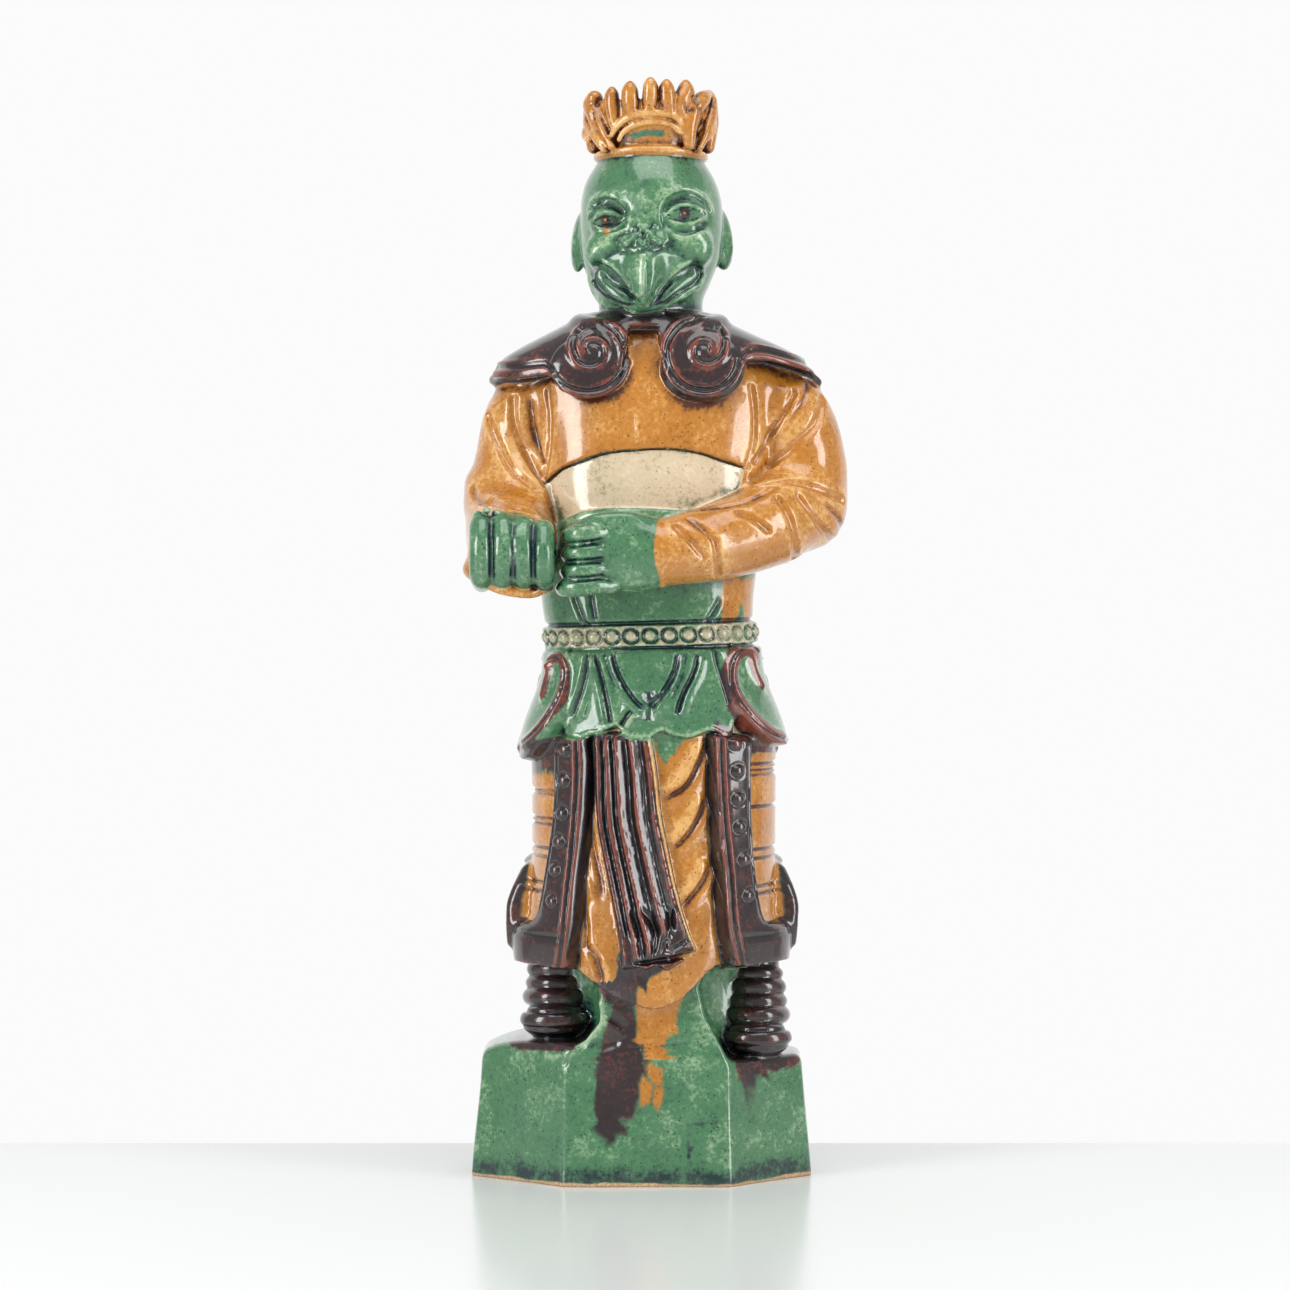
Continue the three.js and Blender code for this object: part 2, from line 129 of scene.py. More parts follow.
def lineDistance(points, radii, reach):
    points = np.array(points, np.float32)
    radii = spread(radii, len(points)).astype(np.float32)
    halfBlock = clay["voxel"] * clay["block"]

    def distance(x, y, z):
        shape = np.broadcast_shapes(x.shape, y.shape, z.shape)
        result = np.full(shape, 60, np.float32)
        middle = blockMiddle(x, y, z)
        for a, b, startRadius, endRadius in zip(points[:-1], points[1:], radii[:-1], radii[1:]):
            axis = b - a
            span = float(axis @ axis) + 1e-6
            share = np.clip((middle - a) @ axis / span, 0, 1)
            gap = np.linalg.norm(middle - a - share[:, None] * axis, axis=1)
            near = np.nonzero(gap < max(startRadius, endRadius) + reach + halfBlock)[0]
            if not len(near):
                continue
            px, py, pz = x[near] - a[0], y[near] - a[1], z[near] - a[2]
            along = np.clip((px * axis[0] + py * axis[1] + pz * axis[2]) / span, 0, 1)
            square = (px - along * axis[0]) ** 2 + (py - along * axis[1]) ** 2 + (pz - along * axis[2]) ** 2
            result[near] = np.minimum(result[near], np.sqrt(square) - startRadius - along * (endRadius - startRadius))
        return result

    return distance, points, radii


def roll(points, radii, blend=1.5, glaze="green", count=6):
    # a roll of clay along a smooth line
    distance, points, radii = lineDistance(curve(points, count), radii, clay["reach"])
    widest = radii.max()
    addForm(distance, points.min(0) - widest, points.max(0) + widest, blend, glaze)


def stroke(points, width, height, glaze=None, count=5):
    # a line that is pressed in, or raised where its height is above nought, along points on the surface
    smooth = curve(points, count)
    distance, points, _ = lineDistance(smooth, 0, 2.6 * width)
    low, high = points.min(0) - 2.6 * width, points.max(0) + 2.6 * width
    addForm(distance, low, high, glaze=glaze, kind="stroke", height=height, width=width)


def lump(middle, radii, turn=(0, 0, 0), blend=1.5, glaze="green", kind="lump"):
    # an egg-shaped lump, turned by degrees about x, then y, then z
    ax, ay, az = np.radians(turn)
    aboutX = np.array([[1, 0, 0], [0, math.cos(ax), -math.sin(ax)], [0, math.sin(ax), math.cos(ax)]])
    aboutY = np.array([[math.cos(ay), 0, math.sin(ay)], [0, 1, 0], [-math.sin(ay), 0, math.cos(ay)]])
    aboutZ = np.array([[math.cos(az), -math.sin(az), 0], [math.sin(az), math.cos(az), 0], [0, 0, 1]])
    turned = (aboutZ @ aboutY @ aboutX).T.astype(np.float32)
    size = np.array(radii, np.float32)
    middle = np.array(middle, np.float32)

    def distance(x, y, z):
        p = [row[0] * (x - middle[0]) + row[1] * (y - middle[1]) + row[2] * (z - middle[2]) for row in turned]
        near = np.sqrt(sum((v / r) ** 2 for v, r in zip(p, size)))
        steep = np.sqrt(sum((v / r**2) ** 2 for v, r in zip(p, size))) + 1e-6
        return near * (near - 1) / steep

    widest = size.max()
    addForm(distance, middle - widest, middle + widest, blend, glaze, kind)


def rowTable(rows, step=0.5):
    # smooth values between rows whose first number is the height
    rows = np.array(rows, float)
    heights = np.arange(rows[0, 0], rows[-1, 0] + step / 2, step)
    slopes = np.gradient(rows[:, 1:], rows[:, 0], axis=0)
    i = np.clip(np.searchsorted(rows[:, 0], heights, "right") - 1, 0, len(rows) - 2)
    gap = (rows[i + 1, 0] - rows[i, 0])[:, None]
    t = ((heights - rows[i, 0])[:, None]) / gap
    a, b = rows[i, 1:], rows[i + 1, 1:]
    table = a * (2 * t**3 - 3 * t**2 + 1) + b * (3 * t**2 - 2 * t**3)
    table += slopes[i] * gap * (t**3 - 2 * t**2 + t) + slopes[i + 1] * gap * (t**3 - t**2)
    return heights, table.astype(np.float32), np.gradient(table, step, axis=0).astype(np.float32)


def sectionDistance(rows):
    # distance to a stack of rounded cross-sections: height, half width, half depth, middle x and y, squareness
    heights, table, slope = rowTable(rows)

    def distance(x, y, z):
        row = np.clip((z - heights[0]) * 2, 0, len(heights) - 1.01)
        i = row.astype(np.int32)
        t = (row - i)[..., None]
        here = table[i] * (1 - t) + table[i + 1] * t
        lean = slope[i]
        halfWidth, halfDepth, middleX, middleY, power = (here[..., n] for n in range(5))
        u = np.abs(x - middleX) / halfWidth + 1e-4
        v = np.abs(y - middleY) / halfDepth + 1e-4
        widthPart, depthPart = u**power, v**power
        total = widthPart + depthPart
        radius = total ** (1 / power)
        fall = widthPart * (lean[..., 0] / halfWidth) + depthPart * (lean[..., 1] / halfDepth)
        steep = np.sqrt((widthPart / (u * halfWidth)) ** 2 + (depthPart / (v * halfDepth)) ** 2 + fall**2)
        return np.clip((radius - 1) * total / (radius * steep), -30, 30)

    return distance


def sections(rows, blend=1.5, glaze="green", foot=2.0, top=2.0, sway=None):
    # sway adds a height to the surface where the form isn't plain
    plain = sectionDistance(rows)
    bottom, height = rows[0][0], rows[-1][0]

    def distance(x, y, z):
        result = plain(x, y, z)
        if sway:
            result = result - sway(x, y, z)
        result = smoothMax(result, bottom - z, foot)
        return smoothMax(result, z - height, top)

    reachX = max(abs(row[3]) + row[1] for row in rows) + 4
    reachY = max(abs(row[4]) + row[2] for row in rows) + 4
    addForm(distance, (-reachX, -reachY, bottom - 1), (reachX, reachY, height + 1), blend, glaze)


# The field: all forms together, at any points
def fieldAt(x, y, z, paints=None, chosen=None):
    # x, y and z are blocks of points. With paints, a list of weights of each glaze, those are mixed too.
    shape = np.broadcast_shapes(x.shape, y.shape, z.shape)
    field = np.full(shape, 30, np.float32)
    flat = [v.reshape(len(v), -1) for v in (x, y, z)]
    low = np.stack([v[:, 0] for v in flat], 1)
    high = np.stack([v[:, -1] for v in flat], 1)
    for form in forms if chosen is None else chosen:
        reach = clay["reach"] if form["kind"] == "lump" else 2.0
        near = np.all((high > form["low"] - reach) & (low < form["high"] + reach), axis=1)
        near = np.nonzero(near)[0]
        if not len(near):
            continue
        gap = form["distance"](x[near], y[near], z[near])
        here = field[near]
        if form["kind"] == "lump":
            field[near] = smoothMin(here, gap, form["blend"])
            share = smoothStep(1.0, -1.0, gap - here)
        elif form["kind"] == "cut":
            field[near] = smoothMax(here, -gap, form["blend"])
            share = np.zeros_like(gap)
        else:
            amount = np.exp(-np.minimum((gap / form["width"]) ** 2, 14))
            field[near] = here - form["height"] * amount
            share = smoothStep(0.35, 0.75, amount)
        if paints is None:
            continue
        if form["glaze"] is not None:
            share = share.reshape(len(near), 1)
            wanted = form["glaze"]
            colour = wanted(x[near], y[near], z[near]) if callable(wanted) else bare[wanted]
            paints[near] = paints[near] * (1 - share) + colour * share
        if form["kind"] == "stroke":
            mark = amount.reshape(len(near)) * np.clip(-form["height"] / 1.5, -1, 1)
            paints[near, 3] = np.clip(paints[near, 3] + mark, -1, 1)
    return field


def fieldOf(points, chosen=None):
    # the field at loose points
    x, y, z = (points[:, n].astype(np.float32).reshape(-1, 1, 1, 1) for n in range(3))
    return fieldAt(x, y, z, chosen=chosen).reshape(-1)


def pin(points, behind=False):
    # the places on the surface that are seen at these x and z, from the front or from behind
    points = np.array(points, float)
    side = 1 if behind else -1
    low, high = points.min(0) - 6, points.max(0) + 6
    chosen = []
    for form in forms:
        besideX = form["low"][0] > high[0] or form["high"][0] < low[0]
        besideZ = form["low"][2] > high[1] or form["high"][2] < low[1]
        if not besideX and not besideZ:
            chosen.append(form)
    spots = np.stack([points[:, 0], np.full(len(points), side * 95.0), points[:, 1]], 1)
    best, nearest = spots.copy(), np.full(len(spots), 1e3)
    for _ in range(26):
        gap = fieldOf(spots, chosen)
        closer = np.abs(gap) < nearest
        best[closer] = spots[closer]
        nearest[closer] = np.abs(gap)[closer]
        if nearest.max() < 0.03:
            break
        spots[:, 1] -= side * np.clip(gap, -3, 12) * 0.92
    return best


def carve(points, width, height, glaze=None, behind=False, count=5):
    # a stroke given by its outline as seen from the front
    stroke(pin(curve(points, 3), behind), width, height, glaze, count)


# The robe and what hangs on it: a drawing wrapped round the body, that holds a height and weights of glaze
bodyRows = [
    [84, 40, 47, 5, -8, 2.2],
    [110, 50, 50, 5, -4, 2.3],
    [160, 52, 46, 6, -1, 2.4],
    [215, 54, 44, 6, 0, 2.4],
    [262, 50, 40, 5, 0, 2.3],
    [283, 51, 38, 3, 0, 2.3],
    [310, 53, 40, 4, 0, 2.4],
    [345, 57, 41, 5, -1, 2.4],
    [375, 59, 38, 6, 0, 2.4],
    [396, 59, 33, 6, 0, 2.3],
    [412, 46, 28, 5, 0, 2.2],
    [421, 32, 23.5, 4.6, 0, 2],
    [428, 22, 18, 4.6, 0, 2],
]
cloth = {"columns": 1024, "step": 0.5}


def wrapBody():
    # where each turn and height of the drawing is on the body, and how far it is along the surface
    heights, table, _ = rowTable(bodyRows, cloth["step"])
    turns = np.linspace(-math.pi, math.pi, cloth["columns"], endpoint=False)
    halfWidth, halfDepth, middleX, middleY, power = (table[:, n : n + 1] for n in range(5))
    s, c = np.abs(np.sin(turns)), np.abs(np.cos(turns))
    radius = (s**power + c**power) ** (-1 / power)
    x = middleX + halfWidth * radius * np.sin(turns)
    y = middleY - halfDepth * radius * np.cos(turns)
    dx, dy = np.gradient(x, axis=1), np.gradient(y, axis=1)
    length = np.hypot(dx, dy)
    along = np.cumsum(length, axis=1)
    along -= along[:, cloth["columns"] // 2 : cloth["columns"] // 2 + 1]
    cloth.update(heights=heights, table=table, x=x, along=along, outX=dy / length)
    cloth["lift"] = np.zeros(x.shape, np.float32)
    cloth["paint"] = np.zeros(x.shape + (len(bare["green"]),), np.float32)


def seen(points, lift=5.0):
    # points given by x and z as seen from the front, turned to a length along the surface and a height
    result = []
    front = slice(cloth["columns"] // 4, 3 * cloth["columns"] // 4 + 1)
    for x, z in points:
        row = int(np.clip((z - cloth["heights"][0]) / cloth["step"], 0, len(cloth["heights"]) - 1))
        reachX = cloth["x"][row, front] + lift * cloth["outX"][row, front]
        result.append((np.interp(x, reachX, cloth["along"][row, front]), z))
    return result


def turned(points):
    # points given by degrees round the body and z, turned likewise. Nought faces the viewer.
    result = []
    for degrees, z in points:
        row = int(np.clip((z - cloth["heights"][0]) / cloth["step"], 0, len(cloth["heights"]) - 1))
        column = (degrees + 180) / 360 * cloth["columns"]
        result.append((np.interp(column, np.arange(cloth["columns"]), cloth["along"][row]), z))
    return result


def clothWindow(points, margin):
    # the part of the drawing round the points
    points = np.array(points)
    heights, along = cloth["heights"], cloth["along"]
    rows = np.nonzero((heights > points[:, 1].min() - margin) & (heights < points[:, 1].max() + margin))[0]
    rows = slice(rows[0], rows[-1] + 1)
    part = along[rows]
    columns = (part > points[:, 0].min() - margin) & (part < points[:, 0].max() + margin)
    columns = np.nonzero(columns.any(axis=0))[0]
    columns = slice(columns[0], columns[-1] + 1)
    return (rows, columns), along[rows, columns], np.broadcast_to(heights[rows, None], along[rows, columns].shape)


def lineGap(s, z, points):
    # distance to a line, and how far along it the nearest place is, from 0 to 1
    steps = np.hypot(*np.diff(points, axis=0).T)
    starts = np.concatenate([[0], np.cumsum(steps)])
    best = np.full(s.shape, 1e3)
    share = np.zeros(s.shape)
    for a, b, step, start in zip(points[:-1], points[1:], steps, starts):
        axis = (b - a) / max(step, 1e-6)
        along = np.clip((s - a[0]) * axis[0] + (z - a[1]) * axis[1], 0, step)
        gap = np.hypot(s - a[0] - along * axis[0], z - a[1] - along * axis[1])
        closer = gap < best
        best[closer] = gap[closer]
        share[closer] = ((start + along) / max(starts[-1], 1e-6))[closer]
    return best, share


def crease(points, width, height, shoulder=0.0, fade=0.12, glaze=None, smooth=True):
    # a line on the cloth: pressed in where height is below nought. Its ends fade out over a share of its length.
    line = curve(points, 6) if smooth and len(points) > 2 else np.array(points, float)
    window, s, z = clothWindow(line, 4 * width)
    gap, share = lineGap(s, z, line)
    ends = smoothStep(0, fade, share) * smoothStep(0, fade, 1 - share) if fade else 1.0
    amount = height * np.exp(-((gap / width) ** 2)) - shoulder * height * np.exp(-((gap / (2.6 * width)) ** 2))
    cloth["lift"][window] += amount * ends
    mark = np.clip(-height / 1.5, -1, 1) * np.exp(-((gap / width) ** 2)) * ends
    cloth["paint"][window + (3,)] = np.clip(cloth["paint"][window + (3,)] + mark, -1, 1)
    if glaze:
        paintCloth(window, smoothStep(0.3, 0.7, np.exp(-((gap / width) ** 2)) * ends), glaze)


def paintCloth(window, share, glaze):
    part = cloth["paint"][window][..., :3]
    cloth["paint"][window][..., :3] = part + (bare[glaze][:3] - part) * share[..., None]


def inside(s, z, outline):
    # distance to a closed outline, below nought inside
    outline = np.array(outline, float)
    gap, _ = lineGap(s, z, np.vstack([outline, outline[:1]]))
    crossings = np.zeros(s.shape, int)
    for (s0, z0), (s1, z1) in zip(outline, np.roll(outline, -1, axis=0)):
        if z0 == z1:
            continue
        crosses = (z0 > z) != (z1 > z)
        crossings += crosses & (s < s0 + (z - z0) * (s1 - s0) / (z1 - z0))
    return np.where(crossings % 2 == 1, -gap, gap)


def layer(outline, height=None, edge=0.8, glaze=None, bleed=1.0, shape=None, spill=0.0):
    # a piece of cloth laid on with its own height, or only a glaze where height is None
    window, s, z = clothWindow(outline, 4)
    gap = inside(s, z, outline)
    if height is not None:
        share = smoothStep(edge, -edge, gap)
        level = height + shape(s, z, gap) if shape else height
        lift = cloth["lift"][window]
        cloth["lift"][window] = lift + (level - lift) * share
        cloth["paint"][window + (3,)] *= 1 - share
    if glaze:
        paintCloth(window, smoothStep(bleed, -bleed, gap - spill), glaze)


def clothSample(values, x, y, z):
    # the drawing's values at points in space
    heights = cloth["heights"]
    row = np.clip((z - heights[0]) / cloth["step"], 0, len(heights) - 1.01)
    i = row.astype(np.int32)
    here = cloth["table"][i]
    halfWidth, halfDepth, middleX, middleY = (here[..., n] for n in range(4))
    turn = np.arctan2((x - middleX) / halfWidth, -(y - middleY) / halfDepth)
    column = (turn + math.pi) / (2 * math.pi) * cloth["columns"]
    j = np.floor(column).astype(np.int32)
    rowShare = np.broadcast_to(row - i, turn.shape)
    columnShare = column - j
    i, j = np.broadcast_arrays(i, j)
    j, k = j % cloth["columns"], (j + 1) % cloth["columns"]
    if values.ndim == 3:
        rowShare, columnShare = rowShare[..., None], columnShare[..., None]
    low = values[i, j] * (1 - columnShare) + values[i, k] * columnShare
    high = values[i + 1, j] * (1 - columnShare) + values[i + 1, k] * columnShare
    return low * (1 - rowShare) + high * rowShare


# Robe, skirts and sash
skirts = {
    "robe": 1.5,  # how far each cloth stands proud of the body
    "tasset": 7.0,
    "tassetFoot": 9.5,
    "footSwell": 7.0,
    "flare": 17.5,
    "apron": 4.5,
    "sash": 6.0,
    "flap": 5.0,
    "flapTip": 13.0,
    "belt": 3.6,
    "beltHeight": 10.4,
    "beltTilt": 0.03,
    "beads": 33,
    "studRadius": 3.1,
}


def hemLine():
    # the lower edge of the robe and side skirts: it swings down in the middle in front
    front = [(-49.7, 106.7), (-37.0, 105.8), (-28.7, 99.4), (-19.4, 93.5), (-8.1, 90.0), (5.6, 87.6), (14.9, 89.1), (26.7, 94.0), (34.5, 102.8), (40.4, 107.7), (50.7, 106.7)]
    line = np.array(seen(curve(front, 4), 6))
    row = int((110 - cloth["heights"][0]) / cloth["step"])
    along = cloth["along"][row]
    hem = np.interp(along, line[:, 0], line[:, 1], left=108.0, right=108.0)
    below = np.maximum(0, hem[None, :] - cloth["heights"][:, None])
    cloth["lift"] -= 8 * below.astype(np.float32)


def drapeRobe():
    cloth["lift"] += skirts["robe"]
    every = [(-400.0, 60.0), (400.0, 60.0), (400.0, 500.0), (-400.0, 500.0)]
    layer(every, glaze="amber")
    waist = turned([(-179.9, 258), (179.9, 258), (179.9, 331), (100, 331), (-100, 331), (-179.9, 331)])
    layer(waist, glaze="green", bleed=2)
    folds = [
        ([(33.0, 218.5), (28.6, 206.7), (21.8, 195.0), (9.5, 187.6)], 3.0),
        ([(32.5, 192.0), (28.1, 179.3), (21.8, 170.0), (13.4, 162.2)], 3.0),
        ([(35.0, 158.7), (31.1, 148.9), (25.2, 141.6), (18.8, 134.7)], 3.0),
        ([(-27.2, 188.1), (-25.2, 168.5), (-21.3, 151.4), (-18.4, 136.7)], 1.8),
        ([(-27.7, 163.6), (-24.3, 148.9), (-20.3, 136.7)], 1.4),
        ([(-30.1, 139.1), (-28.2, 124.4), (-30.1, 112.1)], 1.8),
    ]
    for points, depth in folds:
        line = seen(points)
        crease(line, 1.7, -depth, shoulder=0.7, fade=0.2)
        crease([(along - 4.2, z + 3.4) for along, z in line], 3.0, 0.5 * depth, fade=0.2)
    crease(seen([(-20.3, 97.4), (-23.3, 109.7), (-30.1, 119.5)]), 2.4, -2.2, shoulder=0.6, fade=0.25)
    crease(seen([(-18.4, 95.0), (-17.4, 103.8), (-20.3, 112.1)]), 1.8, 1.8, fade=0.25)
    run = seen([(-11.5, 114.6), (14.9, 114.6), (10.0, 105.8), (4.1, 99.9), (2.7, 85.1), (-14.5, 85.1), (-14.0, 97.4)])
    layer(run, glaze="brown", bleed=2.0)
    line = seen(curveSeen([(-37.0, 106.7), (-28.7, 100.4), (-19.4, 95.0), (-8.1, 91.0), (5.6, 89.1), (18.8, 91.0), (27.7, 96.9), (35.5, 104.8)]))
    paintLine([(along, z + 0.6) for along, z in line], 0.9, "brown", 0.8)
    for degrees in (-150, -128, 128, 152, 178):
        crease(turned([(degrees, 262), (degrees * 1.01, 214)]), 2.4, -1.6, shoulder=0.6, fade=0.3)


def dressChest():
    # the robe's chest part ends in a curved edge over the bare belly, and the belly ends in the waistband
    edge = [(-50.6, 336.3), (-48.1, 342.7), (-43.7, 347.6), (-38.9, 350.7), (-30.5, 353.7), (-17.4, 357.8), (-0.7, 359.3), (13.4, 359.8), (28.6, 357.8), (39.3, 354.4), (51.0, 351.0)]
    foot = [(50.1, 343.7), (46.2, 336.3), (39.3, 331.5), (28.6, 329.5), (16.8, 330.0), (-0.7, 331.0), (-17.4, 331.0), (-30.6, 329.0), (-39.8, 325.1), (-46.7, 320.7), (-52.6, 319.2)]
    belly = seen(edge + foot, 2)
    layer(belly, height=-0.6, edge=0.7, glaze="cream", bleed=0.7)
    crease(seen(edge, 2), 0.9, -0.9, fade=0)
    paintLine(seen(edge, 2), 0.55, "brown", 0.8)
    lip = [(x, z - 4.5) for x, z in foot]
    crease(seen(lip, 2), 3.2, 1.5, fade=0.1)
    crease(seen([(-2.2, 379.8), (-1.7, 369.0), (-2.2, 360.8)]), 1.1, 0.7, fade=0.2)
    folds = [[(-35.5, 296.3), (-32.5, 285.5), (-26.2, 271.3)], [(39.3, 287.0), (35.4, 281.1), (31.5, 275.2)], [(-25.2, 291.9), (-24.2, 284.1), (-22.3, 275.2)]]
    for points in folds:
        crease(seen(points, 2), 1.5, -1.5, shoulder=0.5, fade=0.15)
    streak = seen([(40.3, 296.8), (56.5, 296.8), (56.5, 275.2), (52.1, 275.2), (50.1, 286.0), (47.2, 275.2), (39.4, 275.2)], 2)
    layer(streak, glaze="amber", bleed=2.4)


def cutApron():
    edge = [(-37.9, 220.0), (-34.0, 219.0), (-28.6, 218.0), (-24.2, 220.0), (-19.8, 220.4), (-14.9, 223.4), (-11.0, 223.9), (-7.6, 220.0), (-1.7, 218.0), (4.1, 219.0), (9.5, 221.9), (14.9, 220.0), (21.8, 218.5), (28.1, 220.4), (33.0, 221.9), (39.4, 219.0), (44.3, 219.5)]
    outline = seen([(-35.5, 262.5)] + [(-36.9, 242.0)] + curveSeen(edge) + [(46.2, 237.1), (49.1, 262.5)])
    layer(outline, height=skirts["apron"], edge=0.8, glaze="green", bleed=0.8, spill=0.8)
    grooves = [
        ([(-24.7, 260.6), (-26.2, 250.8), (-29.6, 238.6), (-33.5, 227.8)], 1.3, -2.6),
        ([(-21.8, 260.6), (-18.8, 249.3), (-16.4, 237.1), (-14.0, 224.4)], 1.3, -2.6),
        ([(-13.9, 260.6), (-11.0, 250.8), (-5.6, 240.5), (1.7, 232.2)], 1.3, -2.6),
        ([(-17.4, 260.6), (-14.4, 250.8), (-11.0, 242.0)], 1.0, -1.0),
        ([(17.3, 260.6), (15.4, 250.8), (10.0, 240.5), (4.1, 232.7)], 1.4, -2.4),
        ([(27.1, 260.6), (24.7, 250.8), (19.3, 239.5), (16.4, 229.3)], 1.3, -2.6),
        ([(34.0, 263.5), (36.4, 252.7), (39.4, 242.0), (41.8, 234.2)], 1.2, -2.0),
        ([(20.8, 260.6), (18.8, 249.3), (13.9, 237.1)], 1.0, -0.9),
        ([(4.1, 242.0), (4.1, 233.2), (3.7, 226.3)], 2.6, -2.2),
        ([(-9.6, 223.9), (-6.6, 228.8), (-3.7, 232.2)], 1.3, -2.6),
    ]
    for points, width, height in grooves:
        crease(seen(points), width * 1.1, height * 1.4, shoulder=0.6, fade=0.08)
    crease(seen(curveSeen([(x, z + 1.5) for x, z in edge])), 1.0, 0.9, fade=0.05)
    crease(seen([(-7.6, 223.4), (-4.7, 227.8), (-2.2, 231.2)]), 1.2, 1.6, fade=0.2)


def curveSeen(points):
    return [tuple(p) for p in curve(points, 4)]


def skirtLift(s, z, gap):
    # the side skirts stand further out towards the foot, most of all round the hip
    slope = (skirts["tassetFoot"] - skirts["tasset"]) * smoothStep(214, 120, z)
    return slope + skirts["footSwell"] * smoothStep(131, 121, z) * smoothStep(40, 72, np.abs(s))


def hangSideSkirts():
    sides = {
        "left": {
            "front": [(-26.2, 220.0), (-25.2, 202.8), (-26.2, 178.3), (-28.7, 153.8), (-31.6, 126.8), (-36.0, 105.8)],
            "border": [(-41.8, 217.5), (-41.9, 200.4), (-42.8, 178.3), (-45.3, 156.3), (-48.2, 136.7), (-51.2, 126.8)],
            "studs": [(-36.0, 212.6), (-37.0, 197.4), (-37.5, 181.3), (-38.9, 167.5), (-40.4, 153.8), (-41.9, 138.6)],
            "ridge": [(-29.6, 218.5), (-29.1, 197.9), (-30.1, 178.3), (-32.1, 153.8), (-35.0, 129.3), (-38.5, 106.7)],
            "lines": (794, 798, 822, 828, 852, 861, 887, 896),
            "turn": -1,
        },
        "right": {
            "front": [(33.5, 220.0), (34.0, 202.8), (35.0, 178.3), (37.4, 153.8), (39.4, 126.8), (44.3, 105.8)],
            "border": [(52.6, 216.5), (52.6, 200.4), (52.6, 178.3), (53.6, 156.3), (56.1, 136.7), (59.0, 126.8)],
            "studs": [(44.0, 215.6), (45.3, 202.3), (45.3, 188.6), (46.0, 174.9), (48.2, 159.2), (50.2, 141.6)],
            "ridge": [(36.4, 218.5), (36.9, 197.9), (37.9, 178.3), (40.4, 153.8), (42.3, 129.3), (47.3, 106.7)],
            "lines": (767, 773, 778, 810, 853, 862, 890, 897),
            "turn": 1,
        },
    }
    for side in sides.values():
        turn = side["turn"]
        back = turned([(turn * 118, 108), (turn * 118, 216)])
        front = seen(curveSeen(side["front"]), 7)
        layer(front + back, height=skirts["tasset"], edge=0.9, glaze="amber", bleed=0.7, shape=skirtLift)
        # paired lines across the plain strip, carried round the hip
        for up in side["lines"]:
            z = rise(up)
            start = seen([(np.interp(-z, [-p[1] for p in side["border"]], [p[0] for p in side["border"]]), z)], 8)
            crease(start + turned([(turn * 75, z), (turn * 100, z), (turn * 118, z)]), 0.9, -1.7, fade=0.03)
        for degrees in (88, 103):
            crease(turned([(turn * degrees, 212), (turn * degrees, 128)]), 1.0, -0.9, fade=0.1)
        # the studded border down the front edge and the band along the foot
        border = seen(curveSeen(side["border"]), 8)
        foot = turned([(turn * 118, rise(925)), (turn * 118, 106)])
        outline = front + foot[::-1] + border[::-1]
        layer(outline, height=skirts["tasset"] + 1.6, edge=0.8, glaze="brown", bleed=0.8, shape=skirtLift, spill=1.0)
        for shift in (0.0, 3.2):
            line = seen([(x - turn * shift, z) for x, z in curveSeen(side["ridge"])], 8)
            crease(line, 0.8, -1.3, fade=0)
            crease([(s + turn * 1.7, z) for s, z in line], 0.9, 0.9, fade=0)
        crease([(s - turn * 1.6, z) for s, z in border], 0.8, -0.9, fade=0.02)
        crease(turned([(turn * 40, 121), (turn * 80, 122), (turn * 118, 123)]), 1.2, -1.2, fade=0.1)
        for s, z in seen(side["studs"], 8):
            stampStud(s, z, skirts["studRadius"], 1.7)


def rise(up):
    # height above the table for a row of the front view
    return (1187 - up) * 0.48885


def stampStud(s, z, radius, height):
    window, alongs, heights = clothWindow([(s, z)], 2.6 * radius)
    gap = np.hypot(alongs - s, heights - z)
    dome = height * np.sqrt(np.clip(1 - (gap / radius) ** 2, 0, 1))
    moat = -0.7 * np.exp(-(((gap - radius - 0.5) / 0.7) ** 2))
    cloth["lift"][window] += dome + moat


def flareLift(s, z, gap):
    # the back skirt stands out at the foot and curls at its edge
    out = 8 * smoothStep(160, 132, z)
    curl = 2.5 * np.exp(-(((gap + 3.5) / 2.2) ** 2))
    return out - 8 + curl + 0.9 * np.cos(s * 0.42)


def hangBackSkirt():
    for turn in (-1, 1):
        outline = turned([(turn * 84, 154), (turn * 79, 145), (turn * 78, 124), (turn * 82, 112), (turn * 110, 108)])
        outline += turned([(turn * 179.9, 108), (turn * 179.9, 160), (turn * 120, 160), (turn * 95, 158)])
        outline[5] = (outline[5][0] + turn * 12, 108)
        outline[6] = (outline[6][0] + turn * 12, 160)
        layer(outline, height=skirts["flare"], edge=1.4, glaze="brown", bleed=1.2, shape=flareLift)
        panel = turned([(turn * 90, 148), (turn * 86, 140), (turn * 86, 122), (turn * 92, 117), (turn * 112, 116), (turn * 112, 150)])
        layer(panel, glaze="amber", bleed=1.4)
        crease(turned([(turn * 87, 148), (turn * 85, 135), (turn * 87, 119), (turn * 100, 115)]), 1.2, -1.6, fade=0.1)
        crease(turned([(turn * 98, 150), (turn * 97, 135), (turn * 98, 120)]), 1.2, -1.4, fade=0.1)


